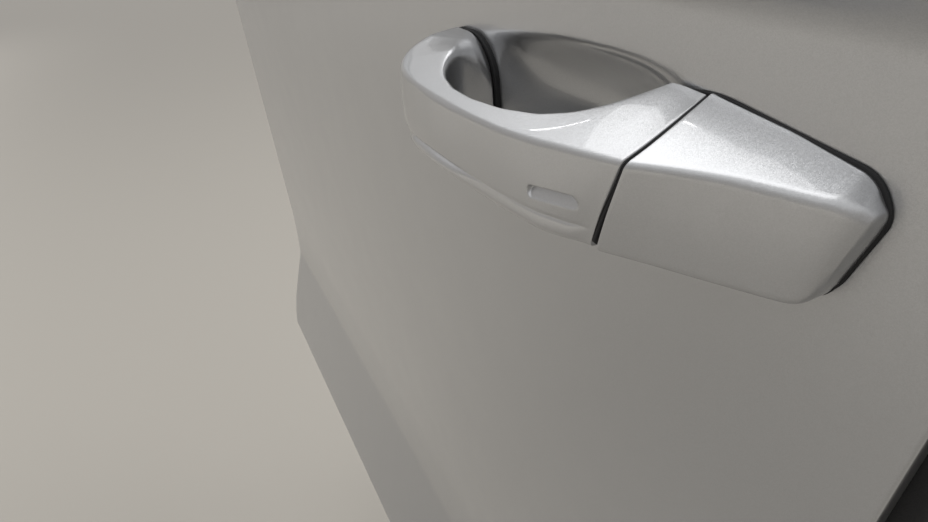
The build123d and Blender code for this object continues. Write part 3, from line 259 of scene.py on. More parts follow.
def grid_faces(rows: int, columns: int, wrap: bool = False) -> Faces:
    """Four-sided faces of a grid of points.

    Args:
        rows: how many rows of points.
        columns: how many points in a row.
        wrap: whether each row's last point joins its first.

    Returns:
        The faces as tuples of point numbers.
    """
    pairs = [(c, (c + 1) % columns) for c in range(columns if wrap else columns - 1)]
    starts = [r * columns for r in range(rows - 1)]
    return [(s + c, s + d, s + columns + d, s + columns + c) for s in starts for c, d in pairs]


def layered(layers: Sequence[np.ndarray], first: bool = True, last: bool = True) -> Solid:
    """Joins closed rings of points into a body.

    Args:
        layers: the rings, each with the same number of points.
        first: whether the first ring is closed with a flat end.
        last: whether the last one is.

    Returns:
        The points and the faces.
    """
    count, total = len(layers[0]), len(layers) * len(layers[0])
    faces = grid_faces(len(layers), count, True)
    faces += [tuple(range(count))] * first + [tuple(range(total - count, total))] * last
    return np.vstack(layers), faces


def turned(profile: Rows, at: Row, axis: Row, count: int = 36) -> Solid:
    """Turns a profile about an axis, round or with six flats.

    Args:
        profile: rows of (height, radius), and the share of six flats where there is one.
        at: where the axis starts.
        axis: its direction.
        count: points round it.

    Returns:
        The points and the faces.
    """
    up = np.array(axis, float) / np.linalg.norm(axis)
    side = np.cross(up, (0.0, 0.0, 1.0) if abs(up[2]) < 0.9 else (0.0, 1.0, 0.0))
    side /= np.linalg.norm(side)
    angle = circle(count)
    flats = 1 / np.cos((angle + SIXTH / 2) % SIXTH - SIXTH / 2)
    arms = np.cos(angle)[:, None] * side + np.sin(angle)[:, None] * np.cross(up, side)
    return layered([
        np.array(at, float) + up * height + (radius * (1 + sum(six) * (flats - 1)))[:, None] * arms
        for height, radius, *six in profile
    ])


def gather(parts: Iterable[Solid]) -> Solid:
    """Puts several sets of points and faces into one.

    Args:
        parts: the sets.

    Returns:
        All points and all faces.
    """
    points: list[np.ndarray] = []
    faces: Faces = []
    start = 0
    for some, round_them in parts:
        points.append(some)
        faces += [tuple(start + v for v in f) for f in round_them]
        start += len(some)
    return np.vstack(points), faces


def linked(name: str, data: bpy.types.ID) -> Piece:
    """Makes an object and links it to the scene.

    Args:
        name: its name.
        data: its mesh, lamp or camera.

    Returns:
        The object.
    """
    thing = bpy.data.objects.new(name, data)
    bpy.context.scene.collection.objects.link(thing)
    return thing


def shade_smooth(mesh: bpy.types.Mesh) -> None:
    """Shades all faces smooth."""
    mesh.polygons.foreach_set("use_smooth", [True] * len(mesh.polygons))


def make_piece(name: str, points: np.ndarray, faces: Faces) -> Piece:
    """Makes a smooth mesh object from points in millimetres, with its faces turned outward.

    Args:
        name: the piece's name.
        points: the points, one a row.
        faces: tuples of point numbers.

    Returns:
        The new object, linked to the scene.
    """
    mesh = bpy.data.meshes.new(name)
    mesh.from_pydata((np.asarray(points, float) * MM).tolist(), [], faces)
    work = bmesh.new()
    work.from_mesh(mesh)
    bmesh.ops.remove_doubles(work, verts=work.verts, dist=1e-6)
    bmesh.ops.recalc_face_normals(work, faces=work.faces)
    work.to_mesh(mesh)
    work.free()
    shade_smooth(mesh)
    mesh.update()
    return linked(name, mesh)


def mesh_points(mesh: bpy.types.Mesh) -> np.ndarray:
    """A mesh's points in metres.

    Args:
        mesh: the mesh.

    Returns:
        The points, one a row.
    """
    flat = np.zeros(len(mesh.vertices) * 3)
    mesh.vertices.foreach_get("co", flat)
    return flat.reshape(-1, 3)


def move_points(mesh: bpy.types.Mesh, points: np.ndarray) -> None:
    """Gives a mesh's points new places, in metres."""
    mesh.vertices.foreach_set("co", points.ravel())
    mesh.update()


def put_modifiers(piece: Piece, **modifiers: dict[str, object]) -> None:
    """Puts modifiers on a piece.

    Args:
        piece: the object.
        **modifiers: each modifier's kind and its settings.
    """
    for kind, settings in modifiers.items():
        made = piece.modifiers.new(kind.lower(), kind)
        for key, value in settings.items():
            setattr(made, key, value)


def modified(piece: Piece, **modifiers: dict[str, object]) -> None:
    """Changes a new piece's mesh with modifiers and leaves none of them on it.

    Args:
        piece: the object.
        **modifiers: each modifier's kind and its settings.
    """
    put_modifiers(piece, **modifiers)
    mesh = bpy.data.meshes.new_from_object(piece.evaluated_get(bpy.context.evaluated_depsgraph_get()))
    piece.modifiers.clear()
    old, name = piece.data, piece.data.name
    piece.data = mesh
    bpy.data.meshes.remove(old)
    mesh.name = name


def carve(piece: Piece, *cutters: Solid) -> None:
    """Cuts closed shapes out of a new piece.

    Args:
        piece: the object that is cut.
        *cutters: points and faces of each shape, in millimetres.
    """
    for cutter in cutters:
        tool = make_piece("cutter", *cutter)
        bpy.context.view_layer.update()
        modified(piece, BOOLEAN={"operation": "DIFFERENCE", "solver": "EXACT", "object": tool})
        mesh = tool.data
        bpy.data.objects.remove(tool)
        bpy.data.meshes.remove(mesh)
    shade_smooth(piece.data)
    piece.data.set_sharp_from_angle(angle=math.radians(38))


def surface_of(piece: Piece) -> BVHTree:
    """A piece's surface, ready for rays.

    Args:
        piece: the object, whose mesh stays as it is.

    Returns:
        The surface.
    """
    work = bmesh.new()
    work.from_mesh(piece.data)
    tree = BVHTree.FromBMesh(work)
    work.free()
    return tree


def landing(surface: BVHTree, start: Row, way: Row) -> tuple[np.ndarray, np.ndarray] | None:
    """Where a ray lands on a surface.

    Args:
        surface: the surface.
        start: where the ray starts, in millimetres.
        way: its direction.

    Returns:
        The place in millimetres and the surface's direction there, or None.
    """
    place, facing, _, _ = surface.ray_cast(Vector(start) * MM, Vector(way))
    return None if place is None else (np.array(place) / MM, np.array(facing))


def stitches(row: Sequence[tuple[np.ndarray, np.ndarray]], length: float, thick: float) -> Solid:
    """Sewing thread: one short bent strand at each place of a row.

    Args:
        row: places along the row and the surface's direction at each.
        length: a strand's length.
        thick: its radius.

    Returns:
        The points and the faces.
    """
    ends = ((0.3, -0.9), (0.8, -0.1), (1, 0.5))
    strand = [(share, *end) for share, end in zip((-1, -0.85, -0.4, 0.4, 0.85, 1), ends + ends[::-1])]
    turn = circle(6)
    parts = []
    for k, (place, facing) in enumerate(row):
        ahead = row[min(k + 1, len(row) - 1)][0] - row[max(k - 1, 0)][0]
        ahead = ahead / max(float(np.linalg.norm(ahead)), 1e-6)
        side = np.cross(facing, ahead)
        side /= max(float(np.linalg.norm(side)), 1e-6)
        parts.append(layered([
            place + ahead * share * length / 2 + facing * lift * thick
            + thick * wide * (np.cos(turn)[:, None] * side + np.sin(turn)[:, None] * facing)
            for share, wide, lift in strand
        ]))
    return gather(parts)


# Finishes


def tint(rgb: Row, times: float = 1.0, plus: float = 0.0, most: float = 1.0) -> Row:
    """A colour made lighter or darker, with its fourth number."""
    return (*(min(part * times + plus, most) for part in rgb), 1.0)


class Tree:
    """A node tree with short calls that add nodes and join them."""

    def __init__(self, tree: bpy.types.NodeTree) -> None:
        """Holds the tree."""
        self.tree = tree

    def give(self, target: Socket, value: object) -> None:
        """Joins a socket to an input, or sets the input to a number or a colour.

        Args:
            target: the input.
            value: the socket, number or colour.
        """
        if isinstance(value, Socket):
            self.tree.links.new(value, target)
        else:
            target.default_value = value

    def feed(self, node: Node, **values: object) -> Node:
        """Gives a node its settings and inputs.

        Args:
            node: the node.
            **values: its settings, and its inputs with spaces written as underscores.

        Returns:
            The node.
        """
        for key, value in values.items():
            name = key.replace("_", " ").lower()
            if hasattr(node, key):
                setattr(node, key, value)
            else:
                self.give(next(s for s in node.inputs if s.name.lower() == name), value)
        return node

    def add(self, kind: str, **values: object) -> Node:
        """Adds a shader node with its settings and inputs."""
        return self.feed(self.tree.nodes.new(f"ShaderNode{kind}"), **values)

    def maths(self, kind: str, *terms: object) -> Socket:
        """Adds a sum of one kind.

        Args:
            kind: the operation's Blender name.
            *terms: its terms, sockets or numbers.

        Returns:
            The result's socket.
        """
        node = self.add("Math", operation=kind)
        for target, value in zip(node.inputs, terms):
            self.give(target, value)
        return node.outputs[0]

    def vector(self, kind: str, first: object, second: object = None) -> Socket:
        """Adds a vector sum of one kind.

        Args:
            kind: the operation's Blender name.
            first: a socket or three numbers.
            second: the same, or for SCALE the factor.

        Returns:
            The result's socket.
        """
        node = self.add("VectorMath", operation=kind)
        self.give(node.inputs[0], first)
        if second is not None:
            self.give(node.inputs["Scale" if kind == "SCALE" else 1], second)
        return node.outputs["Value" if kind == "LENGTH" else "Vector"]

    def blend(self, share: object, first: object, second: object) -> Socket:
        """Mixes two colours.

        Args:
            share: how much of the second shows, a socket or a number.
            first: a socket or a colour.
            second: a socket or a colour.

        Returns:
            The mixed colour's socket.
        """
        node = self.add("Mix", data_type="RGBA")
        for index, value in ((0, share), (6, first), (7, second)):
            self.give(node.inputs[index], value)
        return node.outputs[2]

    def span(self, value: Socket, low: float, high: float, start: float = 0.0, end: float = 1.0) -> Socket:
        """Maps the span from low to high onto that from start to end, and cuts off the rest."""
        made = self.add("MapRange", Value=value, From_Min=low, From_Max=high, To_Min=start, To_Max=end)
        return made.outputs[0]

    def place(self, scale: float | Row) -> Socket:
        """The surface's own coordinates in metres times a scale, as a socket."""
        scales = scale if isinstance(scale, tuple) else (scale,) * 3
        return self.add("Mapping", Vector=self.add("TexCoord").outputs["Object"], Scale=scales).outputs[0]

    def noise(self, where: object, detail: float, roughness: float = 0.5, scale: float = 1.0) -> Node:
        """Adds noise.

        Args:
            where: its coordinates, a socket or the scale of the surface's own.
            detail: how many octaves it has.
            roughness: how strong the finer ones are.
            scale: its own scale.

        Returns:
            The noise's node.
        """
        where = where if isinstance(where, Socket) else self.place(where)
        return self.add("TexNoise", Vector=where, Scale=scale, Detail=detail, Roughness=roughness)


def fill_flake(tree: Tree, given: Node, out: Node) -> None:
    """Metal flakes in paint: cells that each tip the light their own way, some of them bright.

    Args:
        tree: the group's tree.
        given: its input node.
        out: its output node.
    """
    where = tree.vector("SCALE", tree.place(1.0), given.outputs["Cells per metre"])
    cells = tree.add("TexVoronoi", Vector=where, Scale=1.0).outputs["Color"]
    tipped = tree.vector("SCALE", tree.vector("SUBTRACT", cells, (0.5, 0.5, 0.5)), given.outputs["Tip"])
    summed = tree.vector("ADD", tree.add("NewGeometry").outputs["Normal"], tipped)
    spark = tree.maths("SUBTRACT", tree.add("SeparateColor", Color=cells).outputs[0], 0.5)
    spark = tree.maths("MULTIPLY", spark, given.outputs["Contrast"])
    tree.feed(out, Spark=spark, Normal=tree.vector("NORMALIZE", summed))


def fill_grain(tree: Tree, given: Node, out: Node) -> None:
    """The pebbled grain of moulded plastic and leather, as a height and a shade. The shade is random tone plus
    painted shade that draws the grain's valleys darker.

    Args:
        tree: the group's tree.
        given: its input node.
        out: its output node.
    """
    where = tree.vector("SCALE", tree.place(1.0), given.outputs["Cells per metre"])
    rough = tree.noise(where, 4.0, scale=0.6)
    bent = tree.vector("ADD", where, rough.outputs["Color"])
    cells = tree.add("TexVoronoi", feature="DISTANCE_TO_EDGE", Vector=bent, Scale=1.0)
    valley = tree.span(cells.outputs["Distance"], 0.0, 0.28)
    raised = tree.maths("ADD", valley, tree.maths("MULTIPLY", rough.outputs[0], 0.35))
    wide = tree.noise(9.0, 3.0).outputs[0]
    # Painted shade: the valleys between grain cells come out darker, and the wide noise adds random tone.
    shade = tree.maths("MULTIPLY_ADD", wide, 0.5, tree.maths("MULTIPLY", valley, 0.5))
    tree.feed(out, Height=raised, Shade=shade)


def fill_wear(tree: Tree, given: Node, out: Node) -> None:
    """Worn edges, from the surface's own sharpness broken up by noise.

    Args:
        tree: the group's tree.
        given: its input node.
        out: its output node.
    """
    sharp = tree.span(tree.add("NewGeometry").outputs["Pointiness"], 0.515, 0.58)
    broken = tree.maths("MULTIPLY", sharp, tree.noise(240.0, 5.0).outputs[0])
    tree.feed(out, Mask=tree.maths("MULTIPLY", broken, given.outputs["Amount"]))


def fill_dust(tree: Tree, given: Node, out: Node) -> None:
    """Light dust that settles on faces that look up, in patches.

    Args:
        tree: the group's tree.
        given: its input node.
        out: its output node.
    """
    facing = tree.add("SeparateXYZ", Vector=tree.add("NewGeometry").outputs["Normal"])
    upward = tree.span(facing.outputs[2], -0.2, 1.0)
    patch = tree.span(tree.noise(14.0, 6.0, 0.65).outputs[0], 0.42, 0.75)
    mask = tree.maths("MULTIPLY", tree.maths("MULTIPLY", upward, patch), given.outputs["Amount"])
    tree.feed(out, Mask=mask)


@dataclass(frozen=True)
class Effect:
    """A node group that materials share, with the names and values of its number inputs."""

    name: str
    inputs: tuple[tuple[str, float], ...]
    outputs: tuple[tuple[str, str], ...]
    fill: Callable[[Tree, Node, Node], None]

    def group(self) -> bpy.types.NodeTree:
        """Makes the group once and returns it after that.

        Returns:
            The group.
        """
        made = bpy.data.node_groups.get(self.name)
        if made:
            return made
        made = bpy.data.node_groups.new(self.name, "ShaderNodeTree")
        for label, value in self.inputs:
            socket = made.interface.new_socket(label, in_out="INPUT", socket_type="NodeSocketFloat")
            socket.default_value = value
        for label, kind in self.outputs:
            made.interface.new_socket(label, in_out="OUTPUT", socket_type=f"NodeSocket{kind}")
        self.fill(Tree(made), made.nodes.new("NodeGroupInput"), made.nodes.new("NodeGroupOutput"))
        return made

    def put(self, tree: Tree, *values: float) -> Node:
        """Places the group in a material.

        Args:
            tree: the material's tree.
            *values: the group's inputs there, in order.

        Returns:
            The group's node.
        """
        node = tree.add("Group", node_tree=self.group())
        for target, value in zip(node.inputs, values):
            target.default_value = value
        return node


FLAKE = Effect(
    "paint_flake", (("Cells per metre", 3000.0), ("Tip", 0.3), ("Contrast", 0.2)),
    (("Spark", "Float"), ("Normal", "Vector")), fill_flake,
)
GRAIN = Effect(
    "moulded_grain", (("Cells per metre", 900.0),), (("Height", "Float"), ("Shade", "Float")), fill_grain,
)
WEAR = Effect("edge_wear", (("Amount", 0.6),), (("Mask", "Float"),), fill_wear)
DUST = Effect("settled_dust", (("Amount", 0.2),), (("Mask", "Float"),), fill_dust)


@dataclass(frozen=True)
class Finish:
    """A finish that makes its material once."""

    slot: str

    def fill(self, tree: Tree, shader: Node) -> None:
        """Joins the finish's nodes to its shader."""
        raise NotImplementedError

    def material(self) -> bpy.types.Material:
        """The finish's material, named after its slot.

        Returns:
            The material, the same one at each call.
        """
        name = f"finish_{self.slot}"
        made = bpy.data.materials.get(name)
        if not made:
            made = bpy.data.materials.new(name)
            made.use_nodes = True
            self.fill(Tree(made.node_tree), made.node_tree.nodes["Principled BSDF"])
        return made


@dataclass(frozen=True)
class MetallicPaint(Finish):
    """Base coat with metal flakes under a clear coat."""

    rgb: Row = (0.42, 0.425, 0.435)
    metallic: float = 0.85
    roughness: float = 0.34
    coat: float = 1.0
    coat_roughness: float = 0.03
    flake: float = 0.09
    contrast: float = 0.10
    cells: float = 4200.0
    dust: float = 0.03
    dust_rgb: Row = (0.55, 0.53, 0.50)

    def fill(self, tree: Tree, shader: Node) -> None:
        """Joins flakes, a faint waviness and dust to the shader.

        Args:
            tree: the material's tree.
            shader: its Principled shader.
        """
        flakes = FLAKE.put(tree, self.cells, self.flake, self.contrast)
        drift = tree.maths("MULTIPLY_ADD", tree.noise(3.0, 2.0).outputs[0], 0.06, 0.97)
        base = tree.vector("SCALE", self.rgb, tree.maths("ADD", flakes.outputs["Spark"], drift))
        dust = DUST.put(tree, self.dust).outputs[0]
        smear = tree.noise(26.0, 4.0).outputs[0]
        tree.feed(
            shader, Base_Color=tree.blend(dust, base, tint(self.dust_rgb)), Normal=flakes.outputs["Normal"],
            Roughness=tree.maths("MULTIPLY_ADD", smear, 0.08, self.roughness - 0.04), Metallic=self.metallic,
            Coat_Weight=self.coat, Coat_Roughness=self.coat_roughness, Coat_IOR=1.5,
        )


@dataclass(frozen=True)
class Moulded(Finish):
    """Moulded plastic or rubber with a grain."""

    rgb: Row
    roughness: float = 0.5
    cells: float = 900.0
    height: float = 0.00006
    coat: float = 0.0
    dust: float = 0.12
    specular: float = 0.5
    dust_rgb: Row = (0.36, 0.34, 0.31)

    def fill(self, tree: Tree, shader: Node) -> None:
        """Joins grain, with painted shade in its valleys, dust and worn edges to the shader.

        Args:
            tree: the material's tree.
            shader: its Principled shader.
        """
        grain = GRAIN.put(tree, self.cells)
        dust = DUST.put(tree, self.dust).outputs[0]
        wear = WEAR.put(tree, 0.25).outputs[0]
        shade = grain.outputs["Shade"]
        # Painted shade: the grain's shade draws its valleys darker, on top of random tone.
        base = tree.blend(shade, tint(self.rgb, 0.82), tint(self.rgb, 1.18, 0.004))
        base = tree.blend(wear, base, tint(self.rgb, 2.2, 0.02))
        rough = tree.maths("MULTIPLY_ADD", shade, -0.12, self.roughness + 0.06)
        bump = tree.add("Bump", Strength=0.6, Distance=self.height, Height=grain.outputs["Height"])
        tree.feed(
            shader, Base_Color=tree.blend(dust, base, tint(self.dust_rgb)), Normal=bump.outputs[0],
            Roughness=tree.maths("ADD", rough, tree.maths("MULTIPLY", dust, 0.3)),
            Coat_Weight=self.coat, Coat_Roughness=0.05, Specular_IOR_Level=self.specular,
        )


@dataclass(frozen=True)
class Metal(Finish):
    """Bare, plated or chromed metal with drawn lines."""

    rgb: Row
    roughness: float = 0.35
    lines: Row = (60.0, 60.0, 1500.0)
    stain: float = 0.4

    def fill(self, tree: Tree, shader: Node) -> None:
        """Joins drawn lines, stains and worn edges to the shader.

        Args:
            tree: the material's tree.
            shader: its Principled shader.
        """
        drawn = tree.noise(self.lines, 3.0).outputs[0]
        cloud = tree.noise(60.0, 5.0, 0.6).outputs[0]
        base = tree.blend(tree.maths("MULTIPLY", cloud, self.stain), tint(self.rgb), tint(self.rgb, 0.55))
        rough = tree.maths("MULTIPLY_ADD", drawn, 0.16, self.roughness - 0.08)
        bump = tree.add("Bump", Strength=0.35, Distance=0.00003, Height=drawn)
        tree.feed(
            shader, Base_Color=tree.blend(WEAR.put(tree).outputs[0], base, tint(self.rgb, 1.5, most=0.95)),
            Roughness=tree.maths("MULTIPLY_ADD", cloud, 0.12, rough), Normal=bump.outputs[0], Metallic=1.0,
        )


@dataclass(frozen=True)
class TintedGlass(Finish):
    """Toughened window glass with a green tint and a little haze."""

    rgb: Row = (0.62, 0.72, 0.68)

    def fill(self, tree: Tree, shader: Node) -> None:
        """Joins a faint haze to the shader.

        Args:
            tree: the material's tree.
            shader: its Principled shader.
        """
        haze = tree.noise(7.0, 4.0).outputs[0]
        tree.feed(
            shader, Roughness=tree.maths("MULTIPLY", haze, 0.03), Transmission_Weight=1.0, IOR=1.5,
            Base_Color=tree.blend(haze, tint(self.rgb), tint(self.rgb, 0.94)),
        )


@dataclass(frozen=True)
class Silvering(Finish):
    """Mirror glass."""

    bright: Row = (0.84, 0.87, 0.89)
    dull: Row = (0.78, 0.81, 0.83)

    def fill(self, tree: Tree, shader: Node) -> None:
        """Joins faint smears to the shader.

        Args:
            tree: the material's tree.
            shader: its Principled shader.
        """
        smear = tree.noise(30.0, 5.0).outputs[0]
        tree.feed(
            shader, Roughness=tree.maths("MULTIPLY", smear, 0.05), Metallic=1.0,
            Base_Color=tree.blend(smear, tint(self.bright), tint(self.dull)),
        )


FINISHES: dict[str, Finish] = {
    made.slot: made
    for made in (
        *(MetallicPaint(f"{part}_paint") for part in ("body", "handle", "frame", "mirror")),
        MetallicPaint("inner_paint", roughness=0.42, coat=0.35, coat_roughness=0.18, dust=0.25),
        MetallicPaint("hinge_paint", roughness=0.42, coat=0.3, coat_roughness=0.2, dust=0.3),
        Metal("hinge_steel", (0.46, 0.46, 0.45), 0.42),
        Metal("pin_steel", (0.55, 0.55, 0.54), 0.28, (1200.0, 1200.0, 40.0)),
        Metal("latch_steel", (0.42, 0.42, 0.41), 0.36),
        Metal("lever_chrome", (0.74, 0.74, 0.73), 0.16, (900.0, 40.0, 40.0), 0.08),
        TintedGlass("tinted_glass"),
        Silvering("mirror_silver"),
        Moulded("seal_rubber", (0.010, 0.010, 0.011), 0.7, 2400.0, 0.00003, dust=0.03, specular=0.3),
        Moulded("black_trim", (0.028, 0.028, 0.029), 0.5, 1300.0, 0.00005),
        Moulded("gloss_black", (0.010, 0.010, 0.011), 0.10, 300.0, 0.000002, coat=0.6, dust=0.03),
        Moulded("carrier_plastic", (0.035, 0.035, 0.037), 0.5, 900.0, 0.00004),
        Moulded("cabin_plastic", (0.075, 0.075, 0.079), 0.55, 750.0, 0.00012, dust=0.06),
        Moulded("cabin_soft", (0.050, 0.050, 0.054), 0.6, 620.0, 0.00014, dust=0.06),
        Moulded("armrest_leather", (0.060, 0.058, 0.061), 0.46, 480.0, 0.00016, dust=0.03),
        Moulded("switch_plastic", (0.022, 0.022, 0.023), 0.4, 1500.0, 0.00002, dust=0.05),
        Moulded("satin_plastic", (0.36, 0.36, 0.355), 0.3, 2000.0, 0.00001, coat=0.2, dust=0.03),
        Moulded("grille_plastic", (0.030, 0.030, 0.031), 0.5, 1200.0, 0.00004, dust=0.1),
    )
}


def dress(piece: Piece, slot: str) -> None:
    """Gives a piece the one material of a slot, and names the slot.

    Args:
        piece: the mesh object.
        slot: the record's material slot.
    """
    material = FINISHES[slot].material()
    if not piece.data.materials:
        piece.data.materials.append(material)
    for held in piece.material_slots:
        held.material = material


def settle(piece: Piece, slot: str, body: Body, *stands_for: str) -> None:
    """Dresses a new piece, lets it ride on its body and reports it.

    Args:
        piece: the mesh object.
        slot: the record's material slot.
        body: the body it moves with.
        *stands_for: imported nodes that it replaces.
    """
    dress(piece, slot)
    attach(piece, body.value)
    if stands_for:
        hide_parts(*stands_for)
    log.info("%s: %d faces on %s", piece.name, len(piece.data.polygons), body.value)


def soften(piece: Piece, width: float, angle: float = 32.0, steps: int = 3) -> None:
    """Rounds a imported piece's edges with modifiers and leaves its mesh as it is.

    Args:
        piece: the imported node's object.
        width: the rounding's width in millimetres.
        angle: edges sharper than this, in degrees, are rounded.
        steps: steps in the rounding.
    """
    put_modifiers(
        piece, WELD={"merge_threshold": 1e-6},
        DECIMATE={"decimate_type": "DISSOLVE", "angle_limit": math.radians(0.6)},
        BEVEL={
            "width": width * MM, "segments": steps, "limit_method": "ANGLE", "angle_limit": math.radians(angle),
            "use_clamp_overlap": True, "harden_normals": False,
        },
        WEIGHTED_NORMAL={"keep_sharp": False},
    )


# The painted outside


@dataclass
class HandleFrame:
    """The handle's own frame: a rearward of the seam's top, p outward of the skin, b above the seam's top."""

    x: float = 1025.0
    skin_y: float = -66.2
    z: float = 135.0

    def points(self, rows: np.ndarray) -> np.ndarray:
        """Turns rows of (a, p, b) into points of the door's frame."""
        rows = np.asarray(rows, float)
        return np.stack((self.x + rows[..., 0], self.skin_y - rows[..., 1], self.z + rows[..., 2]), axis=-1)


@dataclass
class FingerCup:
    """The hollow in the skin behind the grip."""

    depth: float = 25.0
    rim: Rows = (
        (-150, -5, 8), (-118, -1.2, 150), (-78, 3.0, 240), (-38, 4.6, 160), (-8, 2.4, 8), (-14, -56, 26),
        (-85, -64, 220),
        (-133, -57, 24), (-130, -30, 24), (-139, -13, 18),
    )
    lip: float = 0.30
    low: Row = (-164.0, -76.0)
    high: Row = (-4.0, 20.0)

    def __post_init__(self) -> None:
        """Lets a sheet sag inside the rim, from a coarse lattice to a fine one."""
        rim = rounded(self.rim, 10, 400)
        sag = np.zeros((2, 2))
        for step in (4.0, 2.0, 1.0, 0.5):
            a = np.arange(self.low[0], self.high[0] + step / 2, step)
            b = np.arange(self.low[1], self.high[1] + step / 2, step)
            inside = self.within(rim, a, b)
            shares = [
                (line - low) / (high - low) for line, low, high in zip((a, b), self.low, self.high)
            ]
            sag = self.sample(sag, *shares)
            for _ in range(500):
                around = np.roll(sag, 1, 0) + np.roll(sag, -1, 0) + np.roll(sag, 1, 1) + np.roll(sag, -1, 1)
                sag = np.where(inside, (around + step * step * 0.01) / 4, 0)
        self.sag = sag / sag.max()

    @staticmethod
    def within(rim: np.ndarray, a: np.ndarray, b: np.ndarray) -> np.ndarray:
        """Which points of a lattice lie inside a closed line.

        Args:
            rim: the line's points.
            a: the lattice's first coordinates.
            b: its second coordinates.

        Returns:
            A table of truth values, one row for each a.
        """
        grid_a, grid_b = np.meshgrid(a, b, indexing="ij")
        inside = np.zeros(grid_a.shape, bool)
        for (a0, b0), (a1, b1) in zip(rim, np.roll(rim, -1, axis=0)):
            if b0 == b1:
                continue
            crosses = (grid_b >= min(b0, b1)) & (grid_b < max(b0, b1))
            inside ^= crosses & (grid_a < a0 + (grid_b - b0) * (a1 - a0) / (b1 - b0))
        return inside

    @staticmethod
    def sample(table: np.ndarray, u: np.ndarray, v: np.ndarray) -> np.ndarray:
        """Reads a table at shares of its width and height, row by row and column by column."""
        rows = between(v, np.linspace(0, 1, table.shape[1]), table.T).T
        return between(u, np.linspace(0, 1, table.shape[0]), rows)

    def sink(self, a: np.ndarray, b: np.ndarray) -> np.ndarray:
        """How deep the skin lies below its outer face.

        Args:
            a: places along the handle.
            b: heights.

        Returns:
            Depths in millimetres, positive inboard.
        """
        a, b = np.broadcast_arrays(np.asarray(a, float), np.asarray(b, float))
        u = np.clip((a - self.low[0]) / 0.5, 0, self.sag.shape[0] - 1.001)
        v = np.clip((b - self.low[1]) / 0.5, 0, self.sag.shape[1] - 1.001)
        i, j = u.astype(int), v.astype(int)
        u, v = u - i, v - j
        fall = (self.sag[i, j] * (1 - u) + self.sag[i + 1, j] * u) * (1 - v)
        fall += (self.sag[i, j + 1] * (1 - u) + self.sag[i + 1, j + 1] * u) * v
        return self.depth * fall * fall / (fall + self.lip * (1 - fall) ** 2 + 1e-9)


